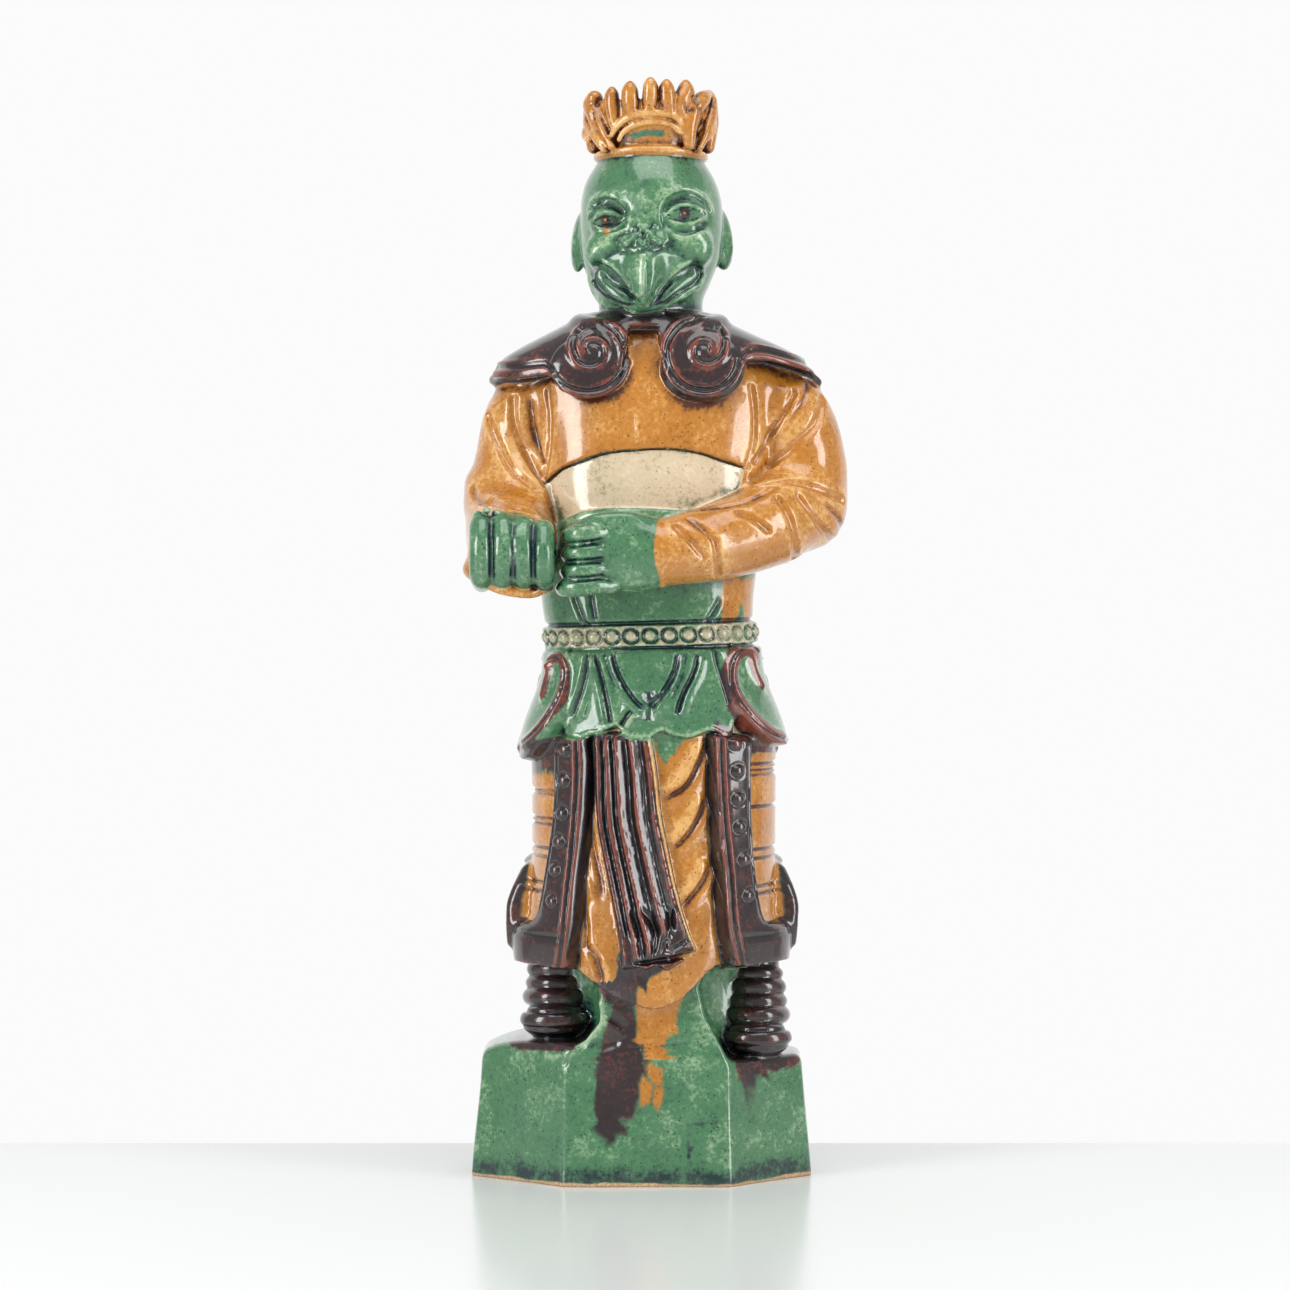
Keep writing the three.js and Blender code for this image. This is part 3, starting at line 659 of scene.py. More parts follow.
def hangSash():
    left = [(-23.0, 220.9), (-22.3, 202.8), (-21.8, 179.3), (-19.4, 163.6), (-16.9, 151.9), (-13.5, 134.2), (-11.0, 120.0), (-9.6, 106.7)]
    right = [(4.1, 220.9), (7.1, 200.4), (9.0, 181.8), (12.0, 166.1), (14.9, 151.9), (18.8, 136.7), (23.7, 122.9), (27.2, 115.6)]
    foot = [(20.8, 111.1), (13.0, 106.7), (6.6, 109.2), (2.2, 106.7), (-3.7, 109.7)]
    outline = seen(curveSeen(left), 7) + seen(foot, 7) + seen(curveSeen(right), 7)[::-1]
    layer(outline, height=skirts["sash"], edge=0.9, glaze="brown", bleed=0.6, spill=0.9)
    ribs = (
        (0.07, 0.8, 0.9),
        (0.15, 1.0, -2.2),
        (0.22, 0.7, 1.2),
        (0.32, 1.0, -2.4),
        (0.40, 0.8, 1.3),
        (0.54, 1.7, -2.8),
        (0.66, 0.8, 1.4),
        (0.79, 1.5, -2.3),
        (0.90, 0.8, 1.2),
    )
    for n, (share, width, height) in enumerate(ribs):
        line = [(a[0] + (b[0] - a[0]) * share, a[1] + (b[1] - a[1]) * share) for a, b in zip(left, right)]
        crease(seen(line[: -1 if n % 2 else None], 8), width, height, shoulder=0.3, fade=0.04)
    edging = seen([(x - 0.6, z) for x, z in right], 8)
    crease(edging, 0.8, 0.9, fade=0.03)
    paintLine(edging, 0.9, "amber", 0.75)
    zigzag = [
        [(-5.6, 136.7), (-0.7, 121.9), (1.2, 108.7)],
        [(-0.7, 137.6), (6.6, 124.4), (5.1, 110.7)],
        [(14.9, 139.1), (13.0, 124.4), (9.0, 112.1)],
        [(23.7, 121.5), (16.9, 117.5), (11.0, 115.6)],
        [(25.7, 116.5), (18.8, 114.1), (13.0, 109.7)],
    ]
    for points in zigzag:
        crease(seen(points, 8), 1.5, -2.4, shoulder=0.5, fade=0.15)


def paintLine(line, width, glaze, strength=1.0):
    line = curve(line, 3)
    window, s, z = clothWindow(line, 4 * width)
    gap, _ = lineGap(s, z, line)
    paintCloth(window, strength * smoothStep(1.5 * width, 0.5 * width, gap), glaze)


def flapLift(s, z, gap):
    return (skirts["flapTip"] - skirts["flap"]) * smoothStep(255, 212, z)


def hangHipFlaps():
    flaps = {
        -1: {
            "front": [(-39.9, 262.5), (-36.9, 254.2), (-36.5, 242.0), (-39.4, 226.3), (-43.8, 216.5), (-51.6, 207.7), (-56.0, 206.7), (-58.5, 211.6)],
            "scroll": [(-55.1, 213.6), (-47.2, 221.9), (-42.3, 230.2), (-38.9, 240.0), (-38.9, 251.3), (-42.3, 257.2), (-46.7, 256.7), (-49.7, 252.7)],
            "curl": [(-48.2, 252.7), (-49.2, 246.4), (-49.2, 240.0)],
            "band": 2.7,
        },
        1: {
            "front": [(47.2, 263.5), (42.8, 254.2), (42.8, 242.0), (46.2, 230.2), (52.1, 221.4), (59.9, 215.6), (66.3, 213.6), (69.7, 214.6)],
            "scroll": [(67.3, 216.5), (59.4, 220.0), (50.6, 228.3), (44.7, 239.0), (43.3, 248.8), (45.7, 257.6), (51.6, 262.5), (57.5, 262.5), (61.9, 257.6)],
            "curl": [(57.0, 255.7), (58.4, 250.8), (60.9, 244.4)],
            "band": 4.2,
        },
    }
    for turn, flap in flaps.items():
        front = seen(curveSeen(flap["front"]), 8)
        back = turned([(turn * 100, 214), (turn * 112, 224), (turn * 122, 240), (turn * 126, 263)])
        layer(front + back, height=skirts["flap"], edge=0.9, glaze="green", bleed=0.8, shape=flapLift, spill=0.6)
        band = flap["band"]
        wide = seen(curveSeen(flap["scroll"]), 9)
        paintLine(wide, band, "brown")
        crease(wide, band, 2.4, fade=0.04, smooth=False)
        crease(wide, 0.9, -1.5, fade=0.04, smooth=False)
        curl = seen(flap["curl"], 10)
        paintLine(curl, 3.2, "brown")
        crease(curl, 3.4, 3.0, fade=0)
        hem = turned([(turn * 84, 211), (turn * 100, 216), (turn * 112, 226), (turn * 122, 241)])
        paintLine(hem, 2.4, "brown")
        crease(hem, 2.2, 1.4, fade=0.05)
        rear = turned([(turn * 98, 250), (turn * 104, 242), (turn * 108, 248), (turn * 104, 256), (turn * 95, 256)])
        crease(rear, 1.2, 1.2, fade=0.1)
        stain = seen([(-59.0, 217.5), (-47.2, 217.0), (-41.8, 219.5), (-41.9, 203.8), (-59.0, 202.8)], 10) if turn < 0 else seen([(36.4, 226.3), (48.2, 222.4), (56.0, 216.5), (70.7, 218.5), (70.7, 209.2), (52.1, 211.6), (35.5, 218.5)], 10)
        layer(stain, glaze="brown", bleed=2.0)


def buckleBelt():
    # the belt is a flat band with rings stamped in it
    middle = 268.3
    count = skirts["beads"]
    row = int((middle - cloth["heights"][0]) / cloth["step"])
    along, x = cloth["along"][row], cloth["x"][row]
    round_ = along[-1] - along[0]
    window, s, z = clothWindow([(along[0], middle - 9), (along[-1], middle + 9)], 2)
    level = middle + skirts["beltTilt"] * np.interp(s, along, x)
    gap = np.abs(z - level) - skirts["beltHeight"] / 2
    share = smoothStep(0.7, -0.7, gap)
    lift = cloth["lift"][window]
    cloth["lift"][window] = lift + (skirts["belt"] - lift) * share
    paintCloth(window, smoothStep(0.6, -0.6, gap), "belt")
    moat = np.exp(-(((gap - 1.0) / 1.1) ** 2))
    cloth["lift"][window] += -1.6 * moat
    pitch = round_ / count
    beside = (s - along[0]) % pitch - pitch / 2
    ring = np.hypot(beside, z - level)
    line = np.exp(-(((ring - 3.5) / 0.75) ** 2))
    cloth["lift"][window] += -1.7 * line + 0.9 * smoothStep(3.2, 1.0, ring)
    green = 0.55 + 0.45 * np.sin(s * 0.09 + 1.4)
    paintCloth(window, line * green, "green")
    cloth["paint"][window + (3,)] = np.clip(cloth["paint"][window + (3,)] + line * green + 0.8 * moat, -1, 1)


def drawCloth():
    wrapBody()
    drapeRobe()
    dressChest()
    hangSideSkirts()
    hangBackSkirt()
    hangSash()
    cutApron()
    hangHipFlaps()
    buckleBelt()
    hemLine()
    stain = seen([(5.6, 220.4), (20.8, 219.5), (19.8, 215.6), (15.9, 209.7), (11.0, 206.7), (7.6, 211.6)], 6)
    layer(stain, glaze="green", bleed=3.2)


# The rock base: two blocks beside a mound that carries the robe, all inside one eight-sided outline
base = {
    "halfWidth": 84.0,
    "front": 54.0,
    "sideFace": 18.0,
    "left": -38.0,
    "right": 43.5,
    "draft": 0.075,  # how far the walls lean in for each millimetre of height
    "leftTop": 70.0,
    "rightTop": 60.5,
    "moundTop": 108.0,
}


def wobble(x, y, z):
    # the slow unevenness of clay that is pressed and cut by hand
    return 0.35 * np.sin(x * 0.11 + 0.7) * np.sin(z * 0.085 + 1.1) + 0.25 * np.sin(y * 0.13 + z * 0.05)


def wallDistance(x, y, z):
    # distance to the eight leaning walls
    walls = [(0, -1, base["front"]), (0, 1, base["front"]), (-1, 0, base["halfWidth"]), (1, 0, base["halfWidth"])]
    for corner, side in ((base["left"], -1), (base["right"], 1)):
        run = base["halfWidth"] - abs(corner)
        fall = base["front"] - base["sideFace"]
        length = math.hypot(run, fall)
        normalX, normalY = fall / length, run / length
        reach = abs(corner) * normalX + base["front"] * normalY
        walls += [(side * normalX, -normalY, reach), (side * normalX, normalY, reach)]
    result = np.full(np.broadcast_shapes(x.shape, y.shape, z.shape), -60, np.float32)
    for normalX, normalY, reach in walls:
        result = smoothMax(result, normalX * x + normalY * y - reach + base["draft"] * z, 1.6)
    return result


def blockDistance(x, y, z):
    walls = wallDistance(x, y, z) + wobble(x, y, z)
    slope = base["rightTop"] + 0.12 * np.maximum(0, 45 - x)
    top = np.where(x < 0, base["leftTop"] + 0.02 * x, slope)
    shoulder = 0.0016 * np.maximum(0, -x - 48) ** 2.4
    return smoothMax(walls, z - top + shoulder, 5)


def moundDistance(x, y, z):
    # the rock's outline in front, drawn from its left foot over the top to its right foot
    leftEdge = np.interp(z, [60, 71, 80, 92, 110], [-38.5, -27.0, -19.5, -20.5, -24.0])
    rightEdge = np.interp(z, [60, 82, 96, 110], [43.0, 31.0, 28.0, 32.0])
    behind = smoothStep(-30, -8, y) * 22
    sides = smoothMax(leftEdge - behind - x, x - rightEdge - behind, 2)
    result = smoothMax(sides, wallDistance(x, y, z) + 0.6 + wobble(x, y, z), 2.5)
    result = smoothMax(result, y - 40, 3)
    return smoothMax(result, z - base["moundTop"], 3)


def shapeBase():
    half, front = base["halfWidth"] + 2, base["front"] + 2
    addForm(blockDistance, (-half, -front, 0), (half, front, 78), blend=2)
    addForm(moundDistance, (-62, -front, 0), (66, 44, base["moundTop"] + 1), blend=2.5)
    # the rock's broken facets beside the left boot
    for line in ([(-19.9, 88.6), (-18.9, 80.7), (-26.7, 70.4), (-36.0, 64.5), (-45.8, 62.5)], [(-18.9, 80.7), (-13.5, 77.8), (-9.6, 74.8)]):
        stroke(pin(line), 1.6, 1.3, None, 2)
    stroke(pin([(-25.3, 68.9), (-18.9, 68.4), (-13.5, 69.9)]), 2.6, -2.6, None, 3)
    stroke(pin([(-15.9, 82.2), (-12.0, 79.7), (-9.6, 77.3)]), 2.2, -1.8, None, 3)
    for x, z, depth in ((-6, 66, 0.9), (14, 68, 0.7), (29, 30, 0.5)):
        carve([(x - 7, z), (x, z + 0.8), (x + 8, z + 1.6)], 0.6, -depth)
    carve([(23.0, 14.5), (23.4, 18), (22.8, 22)], 0.7, -1.2)
    carve([(-37.4, 59.6), (-37, 60.4)], 1.0, -2.2)
    # the foot is cut flat
    addForm(lambda x, y, z: z + 0 * x + 0 * y, (-half, -front, -12), (half, front, 0), 0.6, None, "cut")


def shapeBoots():
    # squat cloth boots: thick folds lie on the toe cap, and the shaft goes up under the robe
    boots = [
        {"x": -41.0, "turn": -6, "sole": 70.5},
        {"x": 56.0, "turn": 4, "sole": 61.5},
    ]
    for boot in boots:
        x, sole = boot["x"], boot["sole"]
        turn = math.radians(boot["turn"])

        def place(sideways, forward, up):
            return (
                x + sideways * math.cos(turn) + forward * math.sin(turn),
                -forward * math.cos(turn) + sideways * math.sin(turn),
                up,
            )

        roll([place(0, 0, sole + 4), place(0, 1, sole + 20), place(0, 0, 113)], [14, 13.5, 12.5], 3, "brown")
        lump(place(0, 8, sole + 7), (15.5, 27, 11), (0, 0, boot["turn"]), 3, "brown")
        lump(place(0, 22, sole + 7.5), (17, 15.5, 9.5), (0, 0, boot["turn"]), 2.5, "brown")
        folds = ((17.0, 24, 14.5, 4.6), (23.6, 19.5, 13.6, 4.0), (30.4, 15.5, 12.6, 4.6), (37.0, 13, 12.0, 3.6))
        for up, reach, half, thick in folds:
            ring = []
            for a in np.linspace(-2.0, 2.0, 9):
                ring.append(place(half * math.sin(a), reach * math.cos(a), sole + up + 1.5 * math.cos(a)))
            roll(ring, [thick * 0.6, thick, thick, thick, thick * 0.6], 0.9, "brown")
        for up, depth in ((4.6, -1.6), (11.8, -1.5)):
            lip = []
            for a in np.linspace(-1.9, 1.9, 11):
                bulge = 2.5 if up > 8 else 0
                lip.append(place((16.6 - bulge) * math.sin(a), 21 + (15.5 - bulge) * math.cos(a), sole + up))
            stroke(lip, 1.1, depth)


def shapeBody():
    def lift(x, y, z):
        return clothSample(cloth["lift"], x, y, z) + 0.6 * wobble(x, y, z)

    def paint(x, y, z):
        shape = np.broadcast_shapes(x.shape, y.shape, z.shape)
        return clothSample(cloth["paint"], x, y, z).reshape(shape[0], -1)

    sections(bodyRows, blend=1.2, glaze=paint, sway=lift)
    forms[-1]["low"] -= 20
    forms[-1]["high"] += 20


capeRows = [
    [391, 80, 38.5, 7, 0, 2.4],
    [394, 83, 41, 7, 0, 2.4],
    [400, 79, 40, 5.5, 0, 2.4],
    [406, 74.5, 38.5, 5.5, 0, 2.3],
    [412, 64.5, 37, 5, 0, 2.2],
    [418, 52, 35, 4, 0, 2.1],
    [424, 40, 32, 3.5, 0, 2],
    [429, 31, 28.5, 4, 0, 2],
]


def shapeCape():
    # the cape's lower edge rises towards the shoulders' tips and the cape parts over the breast
    edge = [(-75.2, 396.1), (-60.7, 394.6), (-47.7, 396.1), (-42.7, 397.6), (-9.8, 397.6), (-7.8, 410.5), (-5.8, 420.0), (7.7, 420.0), (9.2, 410.5), (13.2, 397.6), (48.1, 397.6), (52.1, 403.5), (62.1, 404.0), (85.1, 399.5)]
    heights = np.array(edge)

    def distance(x, y, z):
        result = plain(x, y, z)
        front = np.interp(x, heights[:, 0], heights[:, 1])
        share = smoothStep(-12, 4, y)
        low = front * (1 - share) + 393 * share
        result = smoothMax(result, (low - z) * 0.9, 1.6)
        return smoothMax(result, z - 429, 2)

    plain = sectionDistance(capeRows)
    addForm(distance, (-82, -44, 390), (95, 44, 430), 1.5, "brown")

    scrolls = [
        {
            "disc": (-25.6, 400.3),
            "radii": (19.2, 5.2, 16.2),
            "centre": (-25.2, 407.6),
            "start": 4.06,
            "turns": 2.0,
            "side": -1,
            "reach": [24, 22.5, 20.8, 18.5, 14.5, 10.6, 9.8, 9.6, 9.2, 7.4, 4.8, 2.0],
        },
        {
            "disc": (30.0, 399.3),
            "radii": (20.6, 5.2, 17.2),
            "centre": (32.0, 407.6),
            "start": 1.87,
            "turns": 2.0,
            "side": 1,
            "reach": [19.0, 22.0, 23.2, 23.0, 21.0, 16.5, 11, 8.8, 8.4, 8.6, 8.2, 6.4, 4.4, 2.0],
        },
    ]
    for scroll in scrolls:
        discX, discZ = scroll["disc"]
        x, z = scroll["centre"]
        lump((discX, -34.5, discZ), scroll["radii"], (-16, 0, 0), 1.2, "brown")
        lump((x, -34, z), (12.5, 4.6, 12.0), (-16, 0, 0), 1.5, "brown")
        lines = {0.9: [], 3.2: [], 5.3: []}
        count = 44
        reaches = spread(scroll["reach"], count)
        for t, reach in zip(np.linspace(0, 1, count), reaches):
            angle = scroll["start"] + scroll["side"] * t * scroll["turns"] * 2 * math.pi
            for inwards, line in lines.items():
                away = max(reach - inwards, 0.8)
                line.append((x + away * math.sin(angle), z + away * math.cos(angle)))
        outer, groove, second = (pin(line) for line in lines.values())
        stroke(outer, 1.2, 1.7, "brown", 2)
        stroke(groove, 1.05, -2.0, None, 2)
        stroke(second[: count // 2], 0.9, 1.3, None, 2)

    # double line along the cape's edge
    for points in (
        [(-72.7, 401.5), (-60.7, 401.0), (-47.7, 402.0), (-44.2, 399.0)],
        [(85.1, 402.5), (71.6, 406.0), (61.1, 408.5), (53.1, 408.5), (49.6, 404.5)],
    ):
        carve(points, 1.1, -1.9)
        carve([(x, z - 2.8) for x, z in points], 1.3, 1.5)
        carve([(x, z + 2.4) for x, z in points], 1.0, 0.9)
    # the rolled collar round the neck
    collar = [
        (-12, -32, 416),
        (-23, -25, 420),
        (-30, -10, 422),
        (-27, 10, 424),
        (-9, 24, 425),
        (17, 24, 425),
        (35, 10, 424),
        (38, -10, 422),
        (30, -26, 420),
        (20, -33, 416),
    ]
    roll(collar, [2.0, 4.6, 5.8, 5.4, 5.0, 5.0, 5.4, 5.6, 4.6, 2.0], 2.0, "brown")


def shapeArms():
    # the arm across the belly
    roll([(48, 0, 392), (72, 2, 376), (79, 1, 352), (78, -5, 334)], [18, 22.5, 23.5, 23.5], 5, "amber")
    roll([(78, -5, 334), (60, -30, 322), (36, -46, 314), (12, -56, 309.5)], [23, 20.5, 18.5, 16.5], 5, "amber")
    # the arm whose fist points forward
    roll([(-38, 0, 392), (-57, 2, 378), (-62, 2, 356), (-64.5, -6, 334)], [18, 20, 21, 23], 5, "amber")
    roll([(-64.5, -6, 334), (-64.5, -28, 318), (-63.5, -50, 311)], [23, 22, 21], 5, "amber")
    lump((-72, -4, 341), (15, 17, 8), (0, 20, 0), 6, "amber")
    lump((-68, -52, 301), (19, 14, 9), (0, 0, 0), 5, "amber")

    folds = [
        ([(75.3, 388.6), (70.4, 378.8), (63.5, 367.9), (55.1, 354.1)], 1.7, -2.0),
        ([(89.7, 385.7), (86.2, 373.8), (76.8, 363.4), (63.5, 352.1)], 1.8, -2.6),
        ([(82.3, 392.1), (79.8, 384.7), (74.4, 376.3)], 1.4, -1.2),
        ([(54.1, 390.6), (55.6, 377.3), (55.1, 363.4), (51.6, 351.1)], 1.6, -2.4),
        ([(58.6, 341.7), (73.4, 343.2), (85.8, 340.7), (99.1, 335.3)], 1.8, -3.0),
        ([(76.9, 336.3), (82.8, 328.4), (88.7, 321.0), (95.7, 314.0)], 1.7, -2.6),
        ([(66.5, 335.3), (72.4, 325.4), (74.9, 313.0), (74.9, 302.7)], 1.8, -2.4),
        ([(91.2, 332.8), (97.1, 326.4), (99.6, 320.5)], 1.4, -1.4),
        ([(47.2, 327.9), (53.6, 325.9), (61.5, 320.0)], 1.8, -1.6),
        ([(66.0, 341.2), (51.1, 333.8), (36.3, 330.8), (24.0, 329.4)], 2.0, -1.4),
        ([(35.0, 314.6), (36.4, 307.4), (36.9, 298.7)], 1.6, -2.2),
        ([(16.6, 321.4), (23.4, 314.6), (30.1, 307.4)], 1.6, -2.0),
        ([(23.4, 324.8), (32.1, 318.0), (35.9, 313.7)], 1.6, -1.3),
        ([(-63.5, 385.2), (-63.0, 373.8), (-58.1, 360.0), (-50.7, 346.2)], 1.8, -2.8),
        ([(-75.9, 377.3), (-71.5, 364.4), (-63.6, 350.1), (-52.2, 340.2)], 1.8, -2.8),
        ([(-55.1, 383.7), (-53.2, 369.9), (-48.2, 354.1)], 1.5, -1.4),
        ([(-46.2, 388.6), (-44.8, 374.8), (-45.8, 357.5), (-48.7, 343.7)], 1.6, -2.2),
        ([(-74.4, 333.8), (-66.0, 331.3), (-53.7, 328.9)], 1.8, -2.4),
        ([(-83.3, 340.7), (-80.9, 335.3), (-74.0, 332.3)], 1.6, -1.6),
    ]
    for points, width, height in folds:
        line = pin(curve(points, 3))
        stroke(line, 2.8 * width, -0.4 * height, None, 2)
        stroke(line, width, 1.3 * height, None, 2)
    # folds behind the shoulders and elbows
    for points in ([(66, 388), (74, 366), (70, 344)], [(84, 372), (86, 352), (76, 332)], [(-52, 388), (-60, 366), (-58, 344)]):
        carve(points, 2.0, -2.0, behind=True)


def shapeHands():
    # the fist, with four fingers bent over its front
    roll([(-63.5, -46, 311), (-63, -58, 311), (-62.5, -66, 310.5)], [18, 17.5, 15], 3)
    lump((-62, -63, 309.5), (21, 12, 17), blend=3)
    fingers = ((-77.0, 325.5, 5.7), (-66.8, 325.5, 5.9), (-57.0, 324.0, 5.7), (-47.4, 322.5, 5.4))
    for x, top, radius in fingers:
        path = [(x, -56, top - 4), (x, -68, top - 3), (x, -74, top - 10), (x, -75.5, 308), (x, -72, 298.5), (x, -62, 295)]
        roll(path, [radius - 0.6, radius + 0.3, radius, radius + 0.3, radius - 0.6], 1.7)
    for left, right in zip(fingers[:-1], fingers[1:]):
        middle = (left[0] + right[0]) / 2
        stroke(pin([(middle, 322), (middle, 315), (middle + 0.3, 306), (middle + 0.3, 298)]), 0.9, -1.6, None, 3)
    for x, y, z, size in ((-79, -68, 327.5, 2.2), (-74.5, -71, 329, 1.8), (-70, -68, 328, 2.3), (-75, -63, 329.5, 2.0)):
        lump((x, y, z), (size, size, size * 0.8), blend=1.2)
    # the other hand, seen from its back, with the fingers closed towards the fist
    lump((-6, -61, 309), (21, 12, 19), (0, 8, -4), 3)
    lump((4, -57, 308), (14, 12, 16), (0, 0, 0), 3)
    lump((-24, -62, 306), (13, 9.5, 15), (0, 0, 0), 3)
    for z, reach in ((318.0, -1.0), (309.2, -1.0), (300.6, -0.5), (292.6, 1.5)):
        path = [(-14, -66, z), (-22, -69.5, z + 0.3), (-29, -71, z), (-34.5 - reach, -67.5, z - 0.6), (-36.5 - reach, -60, z - 1)]
        roll(path, [3.0, 4.2, 4.7, 4.5, 3.8], 1.5)
    roll([(6, -60, 322), (-8, -65, 324.5), (-22, -66, 323.5), (-31, -62, 320)], [4.5, 4.6, 4.4, 3.6], 2)
    for points in ([(-34.4, 312.2), (-26.7, 313.2), (-20.0, 315.1)], [(-34.4, 304.3), (-26.7, 304.3), (-19.5, 305.5)], [(-34.0, 295.8), (-25.8, 296.3), (-19.5, 297.8)]):
        carve(points, 1.1, -2.0)
    # the cuff's edge and the hanging lip of the other sleeve
    cuff = []
    for a in np.linspace(-2.6, 0.6, 9):
        cuff.append((11.5 - 1.5 * math.cos(a), -57 + 13.5 * math.sin(a), 309.5 - 16.4 * math.cos(a)))
    roll(cuff, [1.1], 1.2, "amber")
    roll([(-80, -66, 297), (-68, -70, 291.5), (-54, -68, 289.5), (-45, -60, 292)], [2.2, 2.6, 2.6, 2], 1.5, "amber")


headRows = [
    [420, 26.5, 26, 4.6, -2, 2],
    [430, 25.8, 26, 4.6, -2, 2],
    [436, 26.6, 28.5, 4.4, -3, 2],
    [441, 29, 31, 4.2, -4, 2],
    [447, 31.5, 33, 4.2, -4, 2],
    [454, 33.9, 34.5, 4.6, -4, 2.1],
    [462, 35.1, 35.5, 4.8, -3, 2.1],
    [475, 35.4, 36, 5.0, -2, 2.1],
    [486, 34.6, 35, 4.8, -2, 2.1],
    [494, 32.2, 32.5, 4.6, -2, 2],
    [500, 28.8, 29, 4.6, -2, 2],
    [506, 24, 24, 4.6, -2, 2],
    [510, 17, 18, 4.6, -2, 2],
]


def shapeHead():
    sections(headRows, blend=1.2, foot=1, top=4)
    # cheeks, muzzle and the broad hooked beak
    lump((-17, -29, 457), (11, 8, 10), blend=6)
    lump((24, -29, 459), (11.5, 8, 10), blend=6)
    lump((1.5, -30, 452), (18, 10, 15), blend=6)
    roll([(2, -31, 463), (1.8, -35, 455), (1.3, -38.5, 446), (0.9, -41, 438), (0.6, -40.5, 431.5)], [7, 9.2, 8.4, 5.2, 2.3], 4)
    # the jaw under the gape
    roll([(-21, -25, 443), (-13, -31, 436), (0, -34, 432), (14, -32, 436), (26, -25, 444)], [4, 4.5, 4.5, 4.5, 4], 5)

    # sockets and eyes
    sides = [
        {"x": -17.6, "z": 473.6, "half": 8.0},
        {"x": 21.4, "z": 476.2, "half": 9.4},
    ]
    for eye in sides:
        x, z, half = eye["x"], eye["z"], eye["half"]
        spot = pin([(x, z)])[0]
        lump((x, spot[1] - 3.5, z + 1.5), (half + 3.5, 6, 8.8), blend=3, kind="cut")
        lump((x, spot[1] + 5.0, z - 0.3), (half + 1.5, 7.2, 7.0), blend=2.5)
    lines = [
        # the left eye: upper lid, lower lid, fold of the lid, brow, cheekbone
        ([(-24.2, 470.9), (-21.7, 474.4), (-18.8, 475.8), (-15.9, 475.8), (-12.0, 474.8), (-8.1, 473.1)], 1.1, 1.8, None),
        ([(-23.2, 470.5), (-20.3, 468.3), (-16.4, 467.3), (-12.0, 468.5), (-8.5, 471.9)], 1.0, 1.2, None),
        ([(-24.7, 474.4), (-21.7, 478.2), (-17.8, 479.7), (-13.4, 479.0), (-9.5, 476.3)], 0.9, -1.3, None),
        ([(-25.6, 478.2), (-23.7, 482.6), (-19.3, 485.1), (-14.4, 484.3), (-9.5, 481.2), (-6.6, 477.3), (-5.6, 472.4)], 1.5, 2.2, None),
        ([(-23.7, 478.2), (-21.2, 481.7), (-17.3, 482.9), (-12.9, 481.7), (-9.5, 479.2), (-7.3, 475.3)], 1.1, -1.7, None),
        ([(-5.6, 471.9), (-7.6, 468.0), (-11.0, 465.6), (-15.4, 464.6)], 1.2, 1.4, None),
        # the dark lines along the lids: pooled dark glaze and painted shade in the lid creases
        ([(-24.2, 470.9), (-21.2, 473.1), (-17.8, 474.5), (-14.4, 474.1), (-8.5, 472.9)], 0.6, -0.9, "ink"),
        ([(-23.7, 470.7), (-20.3, 469.5), (-16.8, 468.9), (-12.9, 469.7), (-8.5, 472.6)], 0.55, -0.8, "ink"),
        # the right eye likewise
        ([(11.9, 473.4), (14.9, 476.8), (18.3, 478.7), (22.2, 479.1), (26.6, 477.8), (31.5, 475.3)], 1.1, 1.8, None),
        ([(12.4, 472.9), (15.9, 470.9), (20.7, 470.2), (26.1, 471.2), (31.0, 474.6)], 1.0, 1.2, None),
        ([(11.5, 477.3), (15.4, 480.9), (20.7, 482.1), (26.1, 481.2), (31.0, 478.2)], 0.9, -1.2, None),
        ([(9.0, 476.3), (11.0, 481.7), (14.9, 485.3), (20.2, 487.3), (26.6, 486.3), (32.0, 482.6), (34.4, 478.2)], 1.5, 2.0, None),
        ([(10.2, 476.3), (12.4, 481.7), (15.8, 484.1), (20.2, 485.4), (26.1, 484.6), (31.0, 481.2), (32.9, 478.2)], 1.2, -2.0, None),
        ([(11.0, 471.4), (13.9, 468.0), (18.3, 465.8), (23.7, 465.8), (28.5, 468.0), (31.0, 470.9)], 1.3, -1.6, None),
        ([(12.9, 466.6), (18.3, 463.6), (24.1, 463.6), (30.0, 466.6)], 1.6, 1.2, None),
        # the right eye's dark lid lines: pooled dark glaze and painted shade in the lid creases
        ([(12.4, 473.5), (15.4, 476.1), (19.3, 477.8), (22.7, 477.9), (27.1, 476.8), (31.5, 475.2)], 0.6, -0.9, "ink"),
        ([(12.9, 473.1), (16.8, 471.9), (21.7, 471.4), (26.6, 472.6), (31.0, 474.8)], 0.55, -0.8, "ink"),
    ]
    for points, width, height, glaze in lines:
        carve(points, width, height, glaze, count=3)
    for (x, z), size in (((-17.8, 472.0), 2.3), ((21.0, 474.9), 2.5)):
        spot = pin([(x, z)])[0]
        lump((x, spot[1] + 1.4, z), (size, size - 0.4, size), blend=0.5)

